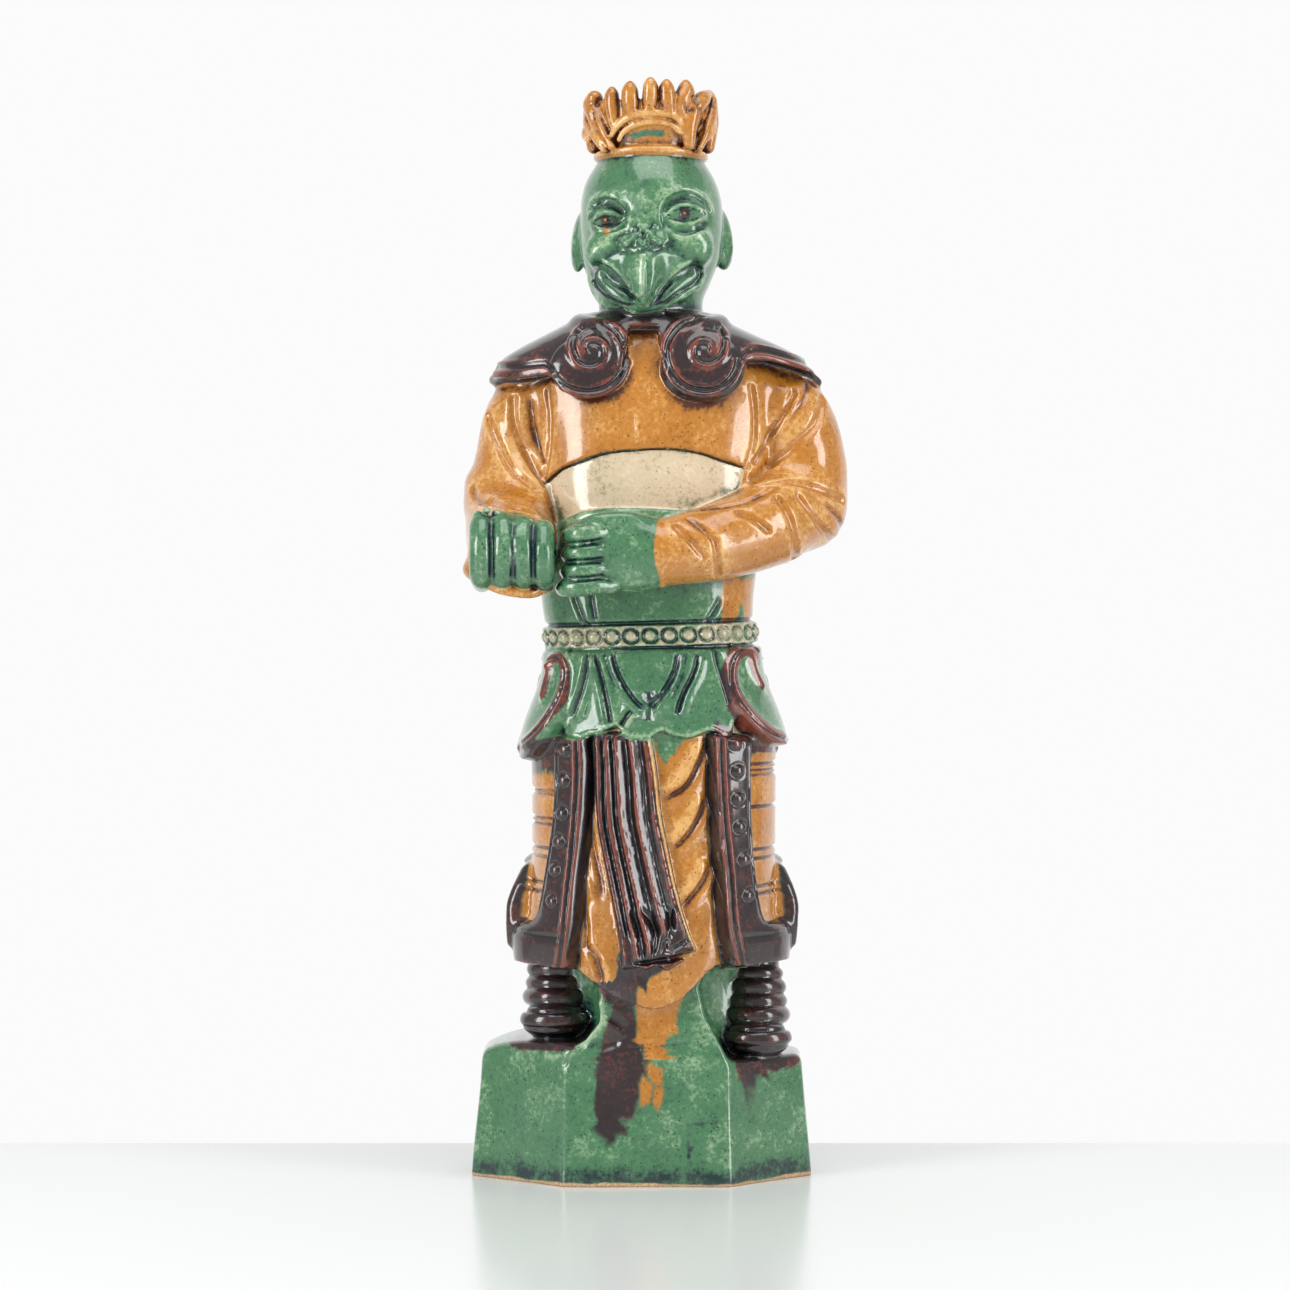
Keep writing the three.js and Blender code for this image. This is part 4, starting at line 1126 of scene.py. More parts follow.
    # knobbly nose with its undercut
    for (x, z), size, out in (
        ((-6.6, 460.2), 3.3, 0.4),
        ((-8.3, 462.7), 2.6, 1.4),
        ((-2.7, 463.6), 3.0, 0.9),
        ((0.7, 460.2), 3.0, 0.0),
        ((4.1, 463.9), 3.0, 0.9),
        ((7.6, 460.7), 3.3, 0.4),
        ((9.8, 463.6), 2.6, 1.4),
        ((1.0, 466.6), 3.4, 1.4),
        ((-3.7, 467.5), 2.6, 1.6),
        ((6.6, 468.5), 2.6, 1.6),
    ):
        spot = pin([(x, z)])[0]
        lump((x, spot[1] + out, z), (size, size, size * 0.85), blend=0.9)
    for points, width, height, glaze in (
        # the nostrils are painted dark and the undercut under the nose deeper: painted shade in the holes and under the
        # knobs, with pooled glaze
        ([(-4.6, 459.0), (-1.7, 458.8)], 1.2, -2.2, "ink"),
        ([(3.2, 459.3), (6.1, 459.5)], 1.2, -2.2, "ink"),
        ([(-9.5, 457.8), (-5.6, 455.8), (-2.2, 456.6), (0.7, 456.6), (4.1, 456.3), (7.6, 456.8), (11.0, 459.3)], 1.1, -1.9, "poolAndShade"),
        ([(-5.1, 466.1), (-4.4, 468.3), (-2.7, 468.5), (-2.0, 466.6)], 0.7, -1.2, "poolAndShade"),
        ([(4.6, 467.5), (5.6, 470.0), (7.6, 470.0), (8.8, 468.0)], 0.7, -1.2, "poolAndShade"),
        ([(1.0, 464.6), (0.7, 461.2)], 0.8, -1.4, "poolAndShade"),
    ):
        carve(points, width, height, glaze, count=3)

    # the gape: a leaf-shaped opening on each side, with a raised tongue in it and a lip round it
    gapes = [
        {
            "leaf": [(-24.4, 447.1), (-22.2, 449.5), (-18.8, 449.8), (-13.4, 446.6), (-7.6, 439.8), (-2.7, 432.9), (0.2, 429.3), (-6.6, 430.5), (-14.4, 433.2), (-20.8, 438.3), (-23.9, 443.7)],
            "tongue": [(-19.8, 445.6), (-17.3, 441.2), (-12.9, 437.3), (-7.6, 433.4)],
            "lip": [(-26.1, 444.6), (-24.2, 438.3), (-18.8, 432.5), (-11.5, 429.3), (-3.7, 427.6)],
        },
        {
            "leaf": [(28.8, 448.0), (27.1, 449.8), (24.2, 449.5), (18.8, 446.6), (12.9, 440.7), (8.0, 433.9), (4.9, 429.5), (11.0, 431.7), (18.3, 436.8), (25.1, 441.0), (28.5, 444.6)],
            "tongue": [(25.1, 445.9), (20.7, 442.4), (15.9, 438.8), (11.0, 434.4)],
            "lip": [(30.5, 445.6), (28.5, 440.7), (22.7, 436.4), (15.9, 432.5), (9.0, 428.6)],
        },
    ]
    for gape in gapes:
        leaf = gape["leaf"]
        carve(gape["tongue"], 4.4, -2.4, count=3)
        carve(leaf + leaf[:1], 0.95, -2.0, count=3)
        carve(leaf[-4:] + leaf[:2], 0.7, -0.8, "ink", count=3)
        carve(gape["tongue"], 2.3, 3.2, count=3)
        carve(gape["lip"], 1.5, 1.5, count=3)
        upper = [(x, z + 2.3) for x, z in leaf[2:6]]
        carve(upper, 1.2, 1.2, count=3)
    carve([(0.7, 453.9), (0.7, 442.2), (0.5, 430.5)], 1.2, 1.4)
    carve([(2.2, 449.0), (2.4, 440.3), (1.7, 431.5)], 1.6, -0.8)
    # creases from the nose over the cheeks
    for points, width, height in (
        ([(-11.5, 456.8), (-17.3, 453.9), (-21.2, 451.0)], 2.2, -1.3),
        ([(12.9, 458.8), (19.8, 454.9), (26.6, 451.5)], 2.2, -1.3),
        ([(-17.3, 461.7), (-20.3, 458.3), (-24.2, 455.8)], 2.5, 0.9),
        ([(0.7, 483.1), (0.7, 477.3), (0.7, 472.4)], 3.0, 1.0),
        ([(-7.6, 470.5), (-9.5, 465.6), (-12.0, 461.7)], 1.6, -1.1),
        ([(11.0, 470.9), (12.9, 465.6), (14.9, 461.7)], 1.6, -1.1),
    ):
        carve(points, width, height)

    # ears
    for x, z, out, high, lean in ((-30.5, 465, 4.2, 15.5, 6), (39.5, 466.5, 5.8, 16.0, -7)):
        side = 1 if x > 0 else -1
        lump((x, 5, z), (out, 8.5, high), (0, lean, side * -18), 1.5)
        lump((x + side * (out + 1.0), 0.5, z + 1), (2.6, 4.6, high * 0.62), (0, lean, side * -18), 1.2, kind="cut")
        lump((x + side * (out - 1.6), 2.5, z - 1), (1.7, 1.8, high * 0.5), (0, lean, 0), 0.9)


def shapeCrown():
    middleX, middleY, foot = axisX, -2.0, 504.0
    cup = [
        [foot - 3, 24.2, 24.2, middleX, middleY, 2],
        [foot + 1, 25.6, 25.6, middleX, middleY, 2],
        [foot + 4, 24.8, 24.8, middleX, middleY, 2],
        [foot + 10, 26.8, 26.4, middleX, middleY, 2],
        [foot + 18, 29.4, 28.4, middleX, middleY, 2],
        [foot + 28, 30.0, 28.6, middleX, middleY, 2],
    ]
    sections(cup, blend=1.2, glaze="amber", foot=1.5, top=1.5)
    lump((middleX, middleY, foot + 37), (25.5, 24.0, 15.0), blend=2, kind="cut")

    def atFront(point, reach):
        # a place on the crown's wall, given as seen from the front
        x, z = point
        share = np.clip((x - middleX) / (1.05 * reach), -1, 1)
        return (middleX + share * reach * 1.05, middleY - reach * math.sqrt(1 - share**2), z)

    def around(degrees, reach, z):
        turn = math.radians(degrees)
        return (middleX + reach * 1.05 * math.sin(turn), middleY - reach * math.cos(turn), z)

    # the rim on the brow
    roll([around(a, 25.4, foot + 2.0 + 1.5 * math.cos(math.radians(a))) for a in range(0, 361, 20)], [2.0], 1.2, "amber", 3)
    # upright petals in front, as seen: foot, middle, tip and thickness
    petals = [
        ((-13.1, 519.8), (-14.3, 528.6), (-14.6, 533.8), 3.9),
        ((-4.7, 524.2), (-5.5, 530.6), (-5.7, 535.3), 4.4),
        ((3.7, 526.2), (4.2, 532.6), (4.4, 537.5), 4.0),
        ((14.0, 526.2), (12.8, 531.6), (12.3, 536.5), 4.1),
        ((19.5, 524.7), (19.5, 530.6), (21.7, 535.8), 4.8),
    ]
    for low, middle, tip, radius in petals:
        points = [atFront(low, 28.2), atFront(middle, 28.8), atFront(tip, 28.4)]
        roll(points, [radius * 0.72, radius, radius * 0.95], 0.8, "amber")
        x, y, z = atFront(tip, 28.4)
        lump((x, y, z + radius * 0.45), (radius * 0.62, radius * 0.7, radius * 0.85), blend=1.5, glaze="amber")
    for degrees in range(100, 270, 20):
        points = [around(degrees, 27.5, foot + 8), around(degrees, 28.4, foot + 20), around(degrees, 28.0, foot + 29.5)]
        roll(points, [3.6, 4.6, 4.4], 0.8, "amber")
    # the arched band over the brow, with its second line under it
    arches = [
        ([(-14.6, 514.8), (-12.6, 517.8), (-7.7, 522.2), (0.7, 524.4), (9.1, 524.7), (16.5, 523.2), (20.0, 518.8)], 29.0, 2.1),
        ([(-11.1, 512.4), (-8.7, 516.3), (-3.7, 519.3), (2.2, 520.5), (9.1, 520.7), (15.0, 519.3), (19.0, 515.8)], 28.2, 1.7),
    ]
    for points, reach, radius in arches:
        roll([atFront(p, reach) for p in points], [radius * 0.7, radius, radius, radius * 0.7], 0.7, "amber")
    # folded leaves at both sides
    leaves = [
        ([(-15.1, 509.4), (-19.5, 517.3), (-22.5, 525.7), (-24.2, 531.1), (-23.2, 534.0)], 28.5, [2.0, 3.6, 4.8, 5.0, 4.2]),
        ([(-18.5, 507.9), (-22.5, 514.8), (-25.9, 522.2), (-27.2, 528.1)], 29.5, [1.6, 2.6, 3.2, 2.4]),
        ([(-25.9, 513.9), (-27.2, 516.8), (-27.4, 519.8)], 30.5, [2.0, 2.8, 2.2]),
        ([(23.4, 510.4), (23.2, 518.8), (24.9, 527.1), (29.8, 533.1), (33.3, 537.0)], 28.5, [3.0, 4.4, 5.2, 4.2, 2.0]),
        ([(28.4, 508.9), (31.6, 517.3), (34.3, 526.7), (35.3, 533.1), (34.8, 536.5)], 29.5, [2.0, 3.0, 3.2, 2.4, 1.6]),
        ([(32.3, 514.3), (34.8, 518.8), (35.8, 523.2)], 30.5, [1.8, 2.4, 1.8]),
    ]
    for points, reach, radii in leaves:
        roll([atFront(p, reach) for p in points], radii, 0.8, "amber")
    for points in (
        [(-24.9, 526.7), (-22.0, 517.8), (-17.5, 509.4)],
        [(-22.0, 530.6), (-20.5, 534.5)],
        [(24.9, 533.5), (27.9, 529.1), (30.3, 522.7), (29.8, 515.8), (27.9, 510.9)],
        [(20.9, 528.6), (22.9, 526.2), (24.9, 526.7)],
    ):
        carve(points, 0.9, -1.5)
    # green glaze has run up under the arch
    stroke(pin([(-4.7, 513.4), (2.2, 515.3), (10.1, 514.8)]), 2.2, -0.3, "green", 3)




# From the field to a mesh
def fillGrid():
    # coarse first, at the middle of each block, then every sample of the blocks that the surface may cross
    voxel, block = clay["voxel"], clay["block"]
    side = voxel * block
    low = np.array(cadLow) / mm - clay["margin"]
    high = np.array(cadHigh) / mm + clay["margin"]
    count = np.ceil((high - low) / side).astype(int)
    middles = np.stack(np.meshgrid(*[np.arange(n) for n in count], indexing="ij"), -1).reshape(-1, 3)
    centre = low + (middles + 0.5 - 0.5 / block) * side
    rough = np.concatenate([fieldOf(part) for part in np.array_split(centre, 12)])
    grid = np.empty(count * block, np.float32)
    blocks = grid.reshape(count[0], block, count[1], block, count[2], block)
    blocks[middles[:, 0], :, middles[:, 1], :, middles[:, 2], :] = rough[:, None, None, None]
    near = middles[np.abs(rough) < side * 0.87 + 4.5]
    print("field:", len(near), "blocks of", len(middles))
    steps = np.arange(block) * voxel
    for part in np.array_split(near, max(1, len(near) // 900)):
        corner = low + part * side
        x = (corner[:, 0, None] + steps).astype(np.float32)[:, :, None, None]
        y = (corner[:, 1, None] + steps).astype(np.float32)[:, None, :, None]
        z = (corner[:, 2, None] + steps).astype(np.float32)[:, None, None, :]
        blocks[part[:, 0], :, part[:, 1], :, part[:, 2], :] = fieldAt(x, y, z)
    return grid, low


def netMesh(grid, low):
    # one point in every cell that the surface crosses, joined across the crossed edges
    inside = grid < 0
    nx, ny, nz = (n - 1 for n in grid.shape)
    corners = [(i, j, k) for i in (0, 1) for j in (0, 1) for k in (0, 1)]
    filled = sum(inside[i : i + nx, j : j + ny, k : k + nz].astype(np.uint8) for i, j, k in corners)
    cells = np.argwhere((filled > 0) & (filled < 8))
    values = np.stack([grid[cells[:, 0] + i, cells[:, 1] + j, cells[:, 2] + k] for i, j, k in corners], 1)
    total = np.zeros((len(cells), 3))
    crossings = np.zeros((len(cells), 1))
    for a, first in enumerate(corners):
        for b, second in enumerate(corners):
            if b <= a or sum(abs(p - q) for p, q in zip(first, second)) != 1:
                continue
            u, v = values[:, a], values[:, b]
            crossed = (u < 0) != (v < 0)
            share = (u / np.where(crossed, u - v, 1))[:, None]
            total += crossed[:, None] * (np.array(first) + share * (np.array(second) - np.array(first)))
            crossings += crossed[:, None]
    points = low + (cells + total / crossings) * clay["voxel"]

    key = (cells[:, 0].astype(np.int64) * ny + cells[:, 1]) * nz + cells[:, 2]
    quads = []
    for axis in range(3):
        one, two = (axis + 1) % 3, (axis + 2) % 3
        step = np.eye(3, dtype=int)
        start = tuple(slice(0, n - 1) if a == axis else slice(1, n - 1) for a, n in enumerate(grid.shape))
        after = tuple(slice(1, n) if a == axis else slice(1, n - 1) for a, n in enumerate(grid.shape))
        changed = np.argwhere(inside[start] != inside[after])
        changed[:, one] += 1
        changed[:, two] += 1
        outward = inside[changed[:, 0], changed[:, 1], changed[:, 2]]
        ring = [changed, changed - step[one], changed - step[one] - step[two], changed - step[two]]
        keys = [(c[:, 0].astype(np.int64) * ny + c[:, 1]) * nz + c[:, 2] for c in ring]
        corner = np.stack([np.searchsorted(key, k) for k in keys], 1)
        corner[~outward] = corner[~outward, ::-1]
        quads.append(corner)
    return points, np.vstack(quads)


def meshFrom(points, faces, name):
    mesh = bpy.data.meshes.new(name)
    sides = faces.shape[1]
    mesh.vertices.add(len(points))
    mesh.vertices.foreach_set("co", (points * mm).astype(np.float32).ravel())
    mesh.loops.add(faces.size)
    mesh.loops.foreach_set("vertex_index", faces.astype(np.int32).ravel())
    mesh.polygons.add(len(faces))
    mesh.polygons.foreach_set("loop_start", np.arange(0, faces.size, sides, dtype=np.int32))
    mesh.update(calc_edges=True)
    return mesh


def thinMesh(mesh):
    # fewer triangles where the surface is plain
    piece = bpy.data.objects.new("deityFigure", mesh)
    bpy.context.collection.objects.link(piece)
    thin = piece.modifiers.new("thin", "DECIMATE")
    thin.ratio = min(1.0, clay["faces"] / (2 * len(mesh.polygons)))
    graph = bpy.context.evaluated_depsgraph_get()
    result = bpy.data.meshes.new_from_object(piece.evaluated_get(graph))
    piece.modifiers.clear()
    piece.data = result
    bpy.data.meshes.remove(mesh)
    return piece


def gridSample(grid, low, points):
    place = (points - low) / clay["voxel"]
    place = np.clip(place, 0, np.array(grid.shape) - 1.01)
    i = place.astype(int)
    t = place - i
    result = np.zeros(len(points))
    for corner in np.ndindex(2, 2, 2):
        weight = np.prod(np.where(corner, t, 1 - t), axis=1)
        result += weight * grid[tuple((i + corner).T)]
    return result


# Glaze: where each colour lies, where it pools or runs thin, and where shade is painted into hollows and grooves
def stainBase(points, paints):
    # glaze from the robe and boots has run down over the rock in front
    x, y, z = points.T
    front = smoothStep(-20, -32, y)
    streaks = 1.1 * np.sin(x * 1.7 + 0.5) + 0.8 * np.sin(x * 3.9 + 1.0) + 0.6 * np.sin(x * 0.8)

    def cover(share, glaze):
        paints[:] = paints * (1 - share[:, None]) + bare[glaze] * share[:, None]

    def run(line, soft, fadeFrom, fadeTo, glaze, strength=1.0):
        # line holds the height, the left edge and the right edge of the run at some places
        heights, left, right = np.array(line, float)[::-1].T
        waver = 0.5 * np.sin(z * 0.35) + 0.4 * np.sin(z * 0.13 + 1)
        share = smoothStep(-soft, soft, x - np.interp(z, heights, left) + waver)
        share = share * smoothStep(-soft, soft, np.interp(z, heights, right) - x + waver)
        share = share * smoothStep(fadeTo, fadeFrom, z + 3 * streaks) * (z < heights[-1]) * front
        cover(share * strength, glaze)

    run([(100, -4, 21), (84, -4, 18), (73, -4, 14), (66, -5, 11), (34, -4, 9)], 2.2, 50, 30, "amber")
    run([(100, -22, -2), (86, -15, -3), (72, -19, -3), (62, -21, -2), (38, -23, -3), (16, -22, -9)], 3.0, 36, 14, "brown")
    run([(70, -4, 3), (50, -4, 1), (30, -6, -3)], 2.5, 56, 30, "brown", 0.6)
    run([(62, 3, 6.5), (30, 3, 6)], 1.6, 46, 22, "brown", 0.5)
    run([(66, 46, 54), (50, 49, 56), (28, 50, 54)], 2.0, 48, 24, "brown", 0.8)
    run([(66, 52, 74), (50, 54, 70)], 3.0, 56, 46, "brown", 0.75)
    run([(74, -76, -50), (56, -72, -54)], 4.0, 68, 58, "brown", 0.4)
    # the glaze that has run off the boots lies round them and along the blocks' upper edges
    for middleX, middleY, top, reach in ((-43, -22, 71, 27), (57, -20, 61, 27)):
        gap = np.hypot(x - middleX, (y - middleY) * 0.8) + 0.8 * streaks
        share = smoothStep(reach, reach - 9, gap) * smoothStep(9, 3, np.abs(z - top))
        cover(share * 0.95, "brown")
    share = smoothStep(3.2, 1.0, np.abs(z - 68.5 - 0.4 * streaks)) * smoothStep(-30, -36, x) * front
    cover(share * 0.9, "brown")


def dabs(points, paints):
    # the pupils and the small places that were dabbed with another glaze
    spots = [
        ((-17.8, 472.0), 2.5, "ink", 1.0),
        ((-17.8, 472.3), 0.9, "amber", 0.9),
        ((21.0, 474.9), 2.7, "ink", 1.0),
        ((21.0, 475.2), 1.0, "amber", 0.7),
        ((-17.3, 466.8), 2.6, "amber", 0.6),
    ]
    for (x, z), size, glaze, strength in spots:
        gap = np.hypot(points[:, 0] - x, points[:, 2] - z)
        share = (strength * smoothStep(size + 0.5, size - 0.5, gap) * (points[:, 1] < -25))[:, None]
        paints[:] = paints * (1 - share) + bare[glaze] * share


def glazeAttributes(piece, grid, low):
    mesh = piece.data
    points = np.empty(len(mesh.vertices) * 3, np.float32)
    mesh.vertices.foreach_get("co", points)
    points = points.reshape(-1, 3) / mm
    normals = np.empty(len(points) * 3, np.float32)
    mesh.vertex_normals.foreach_get("vector", normals)
    normals = normals.reshape(-1, 3)
    paints = np.zeros((len(points), len(bare["green"])), np.float32)
    for part in np.array_split(np.arange(len(points)), 12):
        x, y, z = (points[part, n].reshape(-1, 1, 1, 1) for n in range(3))
        mixed = paints[part]
        fieldAt(x, y, z, mixed)
        paints[part] = mixed
    stainBase(points, paints)
    dabs(points, paints)
    # hollow: how shut in each place is, read from the field a little way out along the normal. It deepens the glaze
    # colour, as pooled glaze and as painted shade in gaps, grooves and under overhangs
    hollow = sum(1 - gridSample(grid, low, points + normals * d) / d for d in (1.2, 2.4, 4.0)) / 3
    ridge = sum(1 + gridSample(grid, low, points - normals * d) / d for d in (0.9, 1.8, 3.0)) / 3
    values = {name: paints[:, n] for n, name in enumerate(glazes)}
    values["hollow"] = np.clip(hollow, 0, 1)
    values["ridge"] = np.clip(ridge, 0, 1) ** 0.8
    values["groove"] = paints[:, 3]
    for name, value in values.items():
        attribute = mesh.attributes.new(name, "FLOAT", "POINT")
        attribute.data.foreach_set("value", value.astype(np.float32))


# Glaze materials
def colour(red, green, blue):
    # a colour as it is seen on a screen, from 0 to 255, turned to linear light
    def linear(value):
        value = value / 255
        return value / 12.92 if value <= 0.04045 else ((value + 0.055) / 1.055) ** 2.4

    return (linear(red), linear(green), linear(blue), 1.0)


class Tree:
    # a short way to place and join shader nodes
    def __init__(self, tree):
        self.tree = tree

    def node(self, kind, inputs=None, **settings):
        node = self.tree.nodes.new(kind)
        for name, value in settings.items():
            setattr(node, name, value)
        for name, value in (inputs or {}).items():
            socket = node.inputs[name]
            if isinstance(value, bpy.types.NodeSocket):
                self.tree.links.new(value, socket)
            else:
                socket.default_value = value
        return node

    def math(self, operation, a, b=0.0, clamp=False):
        node = self.node("ShaderNodeMath", {0: a, 1: b}, operation=operation)
        node.use_clamp = clamp
        return node.outputs[0]

    def ramp(self, value, low, high, toLow=0.0, toHigh=1.0):
        inputs = {"Value": value, "From Min": low, "From Max": high, "To Min": toLow, "To Max": toHigh}
        return self.node("ShaderNodeMapRange", inputs, interpolation_type="SMOOTHSTEP").outputs["Result"]

    def mix(self, share, a, b, blend="MIX"):
        node = self.node("ShaderNodeMix", data_type="RGBA", blend_type=blend)
        for socket, value in ((node.inputs[0], share), (node.inputs[6], a), (node.inputs[7], b)):
            if isinstance(value, bpy.types.NodeSocket):
                self.tree.links.new(value, socket)
            else:
                socket.default_value = value
        return node.outputs[2]

    def noise(self, place, scale, detail=3.0, rough=0.55):
        inputs = {"Vector": place, "Scale": scale, "Detail": detail, "Roughness": rough}
        return self.node("ShaderNodeTexNoise", inputs).outputs["Fac"]

    def attribute(self, name):
        return self.node("ShaderNodeAttribute", attribute_name=name, attribute_type="GEOMETRY").outputs["Fac"]


def poolAndShadeGlaze():
    # one coloured glaze: pale where it runs thin over ridges, deep where it pools and where shade is painted into
    # hollows, gaps and grooves, with fine dark specks
    group = bpy.data.node_groups.new("poolAndShadeGlaze", "ShaderNodeTree")
    for name, kind in (
        ("Place", "NodeSocketVector"),
        ("Pale", "NodeSocketColor"),
        ("Middle", "NodeSocketColor"),
        ("Deep", "NodeSocketColor"),
        ("Hollow", "NodeSocketFloat"),
        ("Ridge", "NodeSocketFloat"),
        ("Cloud Scale", "NodeSocketFloat"),
        ("Speck Share", "NodeSocketFloat"),
    ):
        group.interface.new_socket(name, in_out="INPUT", socket_type=kind)
    group.interface.new_socket("Colour", in_out="OUTPUT", socket_type="NodeSocketColor")
    t = Tree(group)
    given = t.node("NodeGroupInput").outputs
    cloud = t.noise(given["Place"], given["Cloud Scale"], 4.0, 0.6)
    fine = t.noise(given["Place"], 460.0, 4.0, 0.7)
    thick = t.math("ADD", t.ramp(cloud, 0.3, 0.7, -0.3, 0.3), t.ramp(fine, 0.25, 0.75, -0.4, 0.4))
    # the hollow weight deepens the colour: pooled glaze and painted shade
    thick = t.math("ADD", thick, t.math("MULTIPLY", given["Hollow"], 2.4))
    thick = t.math("SUBTRACT", thick, t.math("MULTIPLY", given["Ridge"], 1.7))
    paler = t.mix(t.ramp(thick, -0.9, 0.0), given["Pale"], given["Middle"])
    deeper = t.mix(t.ramp(thick, 0.05, 1.15), paler, given["Deep"])
    cells = t.node("ShaderNodeTexVoronoi", {"Vector": given["Place"], "Scale": 520.0, "Randomness": 1.0})
    dot = t.ramp(cells.outputs["Distance"], 0.14, 0.34, 1.0, 0.0)
    rare = t.ramp(t.noise(given["Place"], 210.0, 2.0), 0.48, 0.6)
    speck = t.math("MULTIPLY", t.math("MULTIPLY", dot, rare), given["Speck Share"])
    out = t.mix(speck, deeper, given["Deep"])
    t.node("NodeGroupOutput", {"Colour": out})
    return group


glazeLook = {
    "green": {"pale": (150, 180, 140), "middle": (70, 120, 82), "deep": (14, 44, 46), "cloud": 70.0, "specks": 0.85},
    "amber": {"pale": (222, 172, 104), "middle": (186, 120, 40), "deep": (84, 40, 20), "cloud": 60.0, "specks": 0.75},
    "brown": {"pale": (122, 58, 42), "middle": (44, 30, 32), "deep": (14, 14, 20), "cloud": 90.0, "specks": 0.3},
    "cream": {"pale": (230, 216, 190), "middle": (214, 194, 162), "deep": (104, 108, 76), "cloud": 60.0, "specks": 0.55},
    "bareClay": (208, 178, 140),
    "bareTop": 0.0016,  # the glaze stops this far above the table
}


def glazedEarthenware():
    material = bpy.data.materials.new("glazedEarthenware")
    material.use_nodes = True
    material.node_tree.nodes.clear()
    t = Tree(material.node_tree)
    place = t.node("ShaderNodeTexCoord").outputs["Object"]
    hollow, ridge = t.attribute("hollow"), t.attribute("ridge")
    height = t.node("ShaderNodeSeparateXYZ", {"Vector": place}).outputs["Z"]
    # deeper colour over the lowest 2 to 14 mm of the base. Carved grooves deepen it too, as pooled glaze and painted
    # shade
    footNoise = t.math("MULTIPLY", t.math("SUBTRACT", t.noise(place, 60.0, 3.0), 0.5), 0.012)
    foot = t.ramp(t.math("ADD", height, footNoise), 0.002, 0.014, 0.55, 0.0)
    hollow = t.math("ADD", hollow, foot)
    hollow = t.math("ADD", hollow, t.math("MULTIPLY", t.attribute("groove"), 0.36))
    group = poolAndShadeGlaze()

    def layerColour(name):
        look = glazeLook[name]
        inputs = {
            "Place": place,
            "Pale": colour(*look["pale"]),
            "Middle": colour(*look["middle"]),
            "Deep": colour(*look["deep"]),
            "Hollow": hollow,
            "Ridge": ridge,
            "Cloud Scale": look["cloud"],
            "Speck Share": look["specks"],
        }
        node = t.node("ShaderNodeGroup", node_tree=group)
        for key, value in inputs.items():
            if isinstance(value, bpy.types.NodeSocket):
                t.tree.links.new(value, node.inputs[key])
            else:
                node.inputs[key].default_value = value
        return node.outputs["Colour"]

    edge = t.math("SUBTRACT", t.noise(place, 240.0, 4.0, 0.7), 0.5)
    finish = layerColour("green")
    for name in ("cream", "amber", "brown"):
        share = t.math("ADD", t.attribute(name), t.math("MULTIPLY", edge, 0.45))
        finish = t.mix(t.ramp(share, 0.32, 0.68), finish, layerColour(name))
    bareEdge = t.math("ADD", height, t.math("MULTIPLY", t.math("SUBTRACT", t.noise(place, 45.0, 3.0), 0.5), 0.004))
    glazed = t.ramp(bareEdge, glazeLook["bareTop"] - 0.0004, glazeLook["bareTop"] + 0.0006)
    clayColour = t.mix(t.ramp(t.noise(place, 900.0), 0.35, 0.65), colour(*glazeLook["bareClay"]), colour(178, 140, 104))
    finish = t.mix(glazed, clayColour, finish)
    ripple = t.noise(place, 110.0, 2.0, 0.5)
    pits = t.noise(place, 1100.0, 2.0, 0.5)
    surface = t.math("ADD", ripple, t.math("MULTIPLY", pits, 0.08))
    bump = t.node("ShaderNodeBump", {"Strength": 0.35, "Distance": 0.0006, "Height": surface}).outputs["Normal"]
    shader = t.node(
        "ShaderNodeBsdfPrincipled",
        {
            "Base Color": finish,
            "Roughness": t.ramp(glazed, 0.0, 1.0, 0.85, 0.22),
            "Coat Weight": t.ramp(glazed, 0.0, 1.0, 0.0, 0.75),
            "Coat Roughness": 0.06,
            "IOR": 1.5,
            "Normal": bump,
        },
    )
    t.node("ShaderNodeOutputMaterial", {"Surface": shader.outputs[0]})
    return material


# Modelling, in the order that a maker would build it up
shapeBase()
shapeBoots()
drawCloth()
shapeBody()
shapeCape()
shapeArms()
shapeHands()
shapeHead()
shapeCrown()
print("forms:", len(forms))

grid, gridLow = fillGrid()
points, quads = netMesh(grid, gridLow)
print("net:", len(points), "points")
figure = thinMesh(meshFrom(points, quads, "deityFigure"))
glazeAttributes(figure, grid, gridLow)
figure.data.polygons.foreach_set("use_smooth", np.ones(len(figure.data.polygons), bool))
figure.data.materials.append(glazedEarthenware())
print("figure:", len(figure.data.polygons), "triangles")

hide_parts("deity_figure")
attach(figure, "root")

# Table, backdrop, light and camera
studio = {
    "tableEdge": 0.089,  # the far edge of the table, behind the figure
    "camera": (0.0017, -1.9, 0.3),
    "pitch": 88.89,
    "lens": 106.05,
}


def flatPiece(name, corners, material):
    mesh = bpy.data.meshes.new(name)
    mesh.from_pydata(corners, [], [(0, 1, 2, 3)])
    mesh.materials.append(material)
    piece = bpy.data.objects.new(name, mesh)
    bpy.context.collection.objects.link(piece)
    return piece


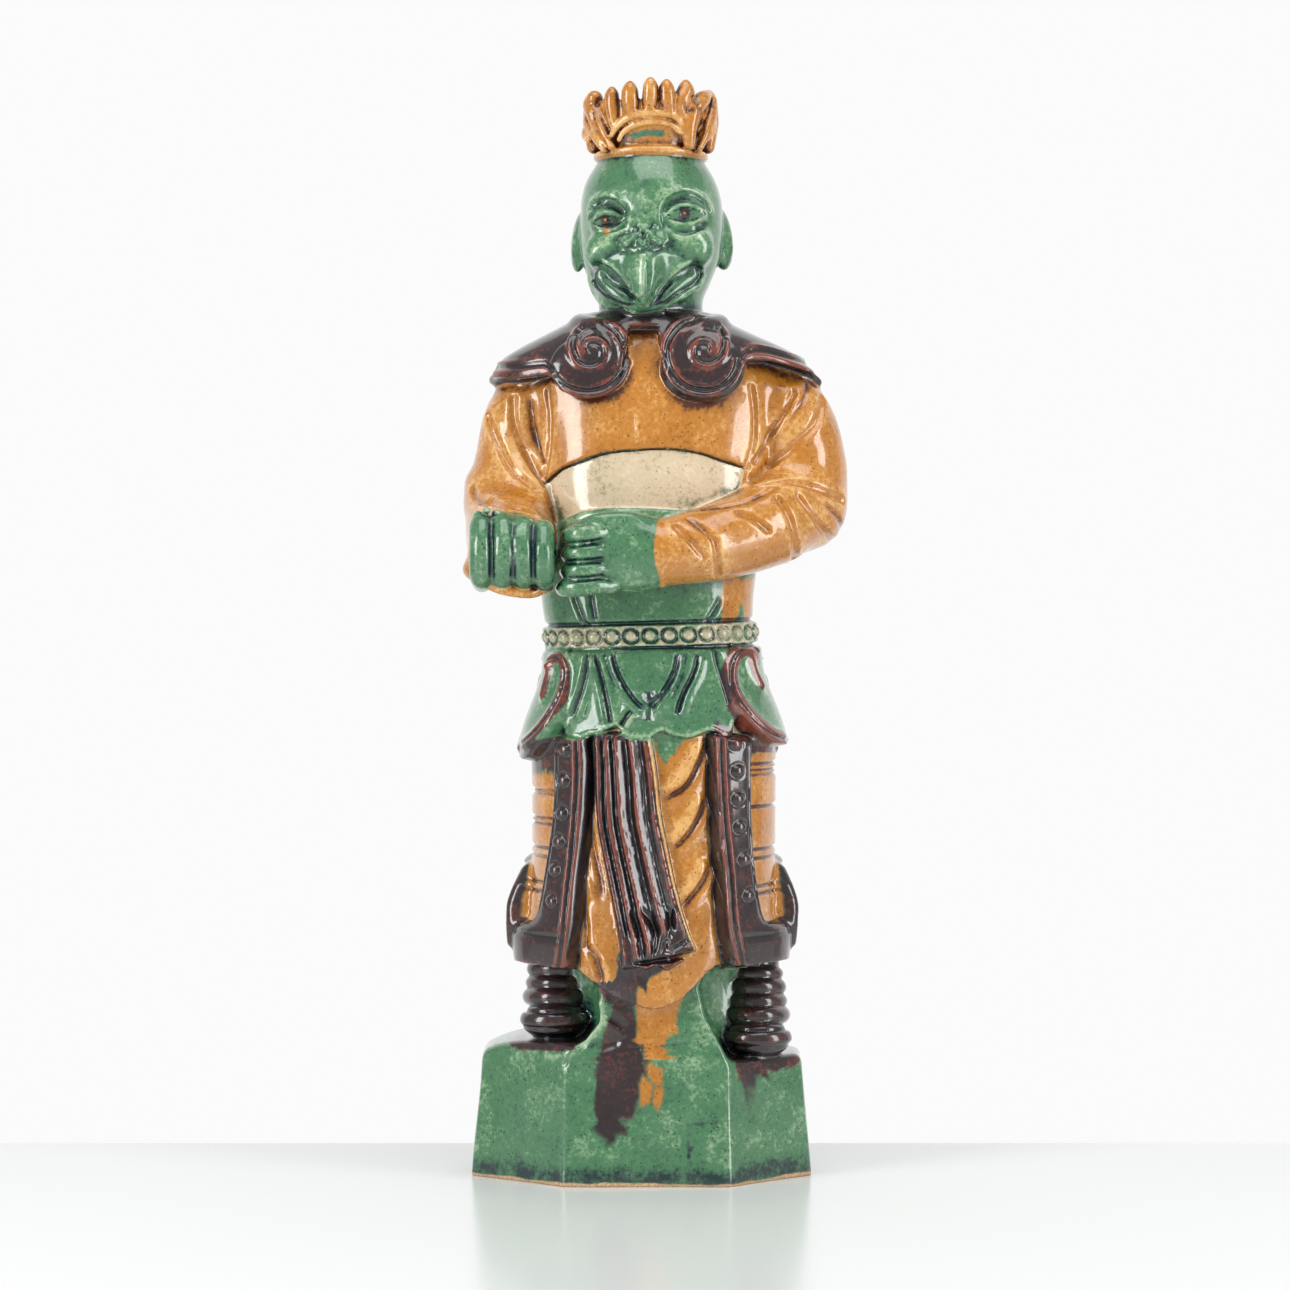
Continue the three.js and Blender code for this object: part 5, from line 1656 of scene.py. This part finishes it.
def paleMaterial(name, shade, roughness, lit=True):
    # where it isn't lit by the lamps, it shows its own colour
    material = bpy.data.materials.new(name)
    material.use_nodes = True
    shader = material.node_tree.nodes["Principled BSDF"]
    shader.inputs["Base Color"].default_value = colour(*shade) if lit else (0, 0, 0, 1)
    shader.inputs["Roughness"].default_value = roughness
    shader.inputs["Emission Color"].default_value = colour(*shade)
    shader.inputs["Emission Strength"].default_value = 0.0 if lit else 1.0
    return material


def softLight(name, place, aim, width, height, power, tint=(1.0, 1.0, 1.0)):
    light = bpy.data.lights.new(name, "AREA")
    light.shape = "RECTANGLE"
    light.size = width
    light.size_y = height
    light.energy = power
    light.color = tint
    lamp = bpy.data.objects.new(name, light)
    lamp.location = place
    lamp.rotation_euler = (Vector(aim) - Vector(place)).to_track_quat("-Z", "Y").to_euler()
    bpy.context.collection.objects.link(lamp)
    return lamp


far = studio["tableEdge"]
table = flatPiece(
    "table",
    [(-3, -4, 0), (3, -4, 0), (3, far, 0), (-3, far, 0)],
    paleMaterial("paleTable", (232, 235, 234), 0.22),
)
backdrop = flatPiece(
    "backdrop",
    [(-6, 3.0, -2.5), (6, 3.0, -2.5), (6, 3.0, 4), (-6, 3.0, 4)],
    paleMaterial("paleBackdrop", (250, 250, 250), 0.9, lit=False),
)

softLight("leftWindow", (-1.25, -1.0, 0.75), (0, 0, 0.3), 0.5, 1.2, 17)
softLight("rightWindow", (1.3, -0.75, 0.6), (0, 0, 0.3), 0.45, 1.2, 12)
softLight("overhead", (0.1, -0.5, 1.7), (0, 0, 0.3), 1.2, 0.9, 9)
world = bpy.data.worlds.new("studioAir")
world.use_nodes = True
world.node_tree.nodes["Background"].inputs["Color"].default_value = (1, 1, 1, 1)
world.node_tree.nodes["Background"].inputs["Strength"].default_value = 0.42
bpy.context.scene.world = world

camera = bpy.data.objects.new("camera", bpy.data.cameras.new("camera"))
camera.data.lens = studio["lens"]
camera.data.sensor_width = 36
camera.location = studio["camera"]
camera.rotation_euler = (math.radians(studio["pitch"]), 0, 0)
bpy.context.collection.objects.link(camera)
bpy.context.scene.camera = camera
bpy.context.scene.view_settings.view_transform = "Standard"
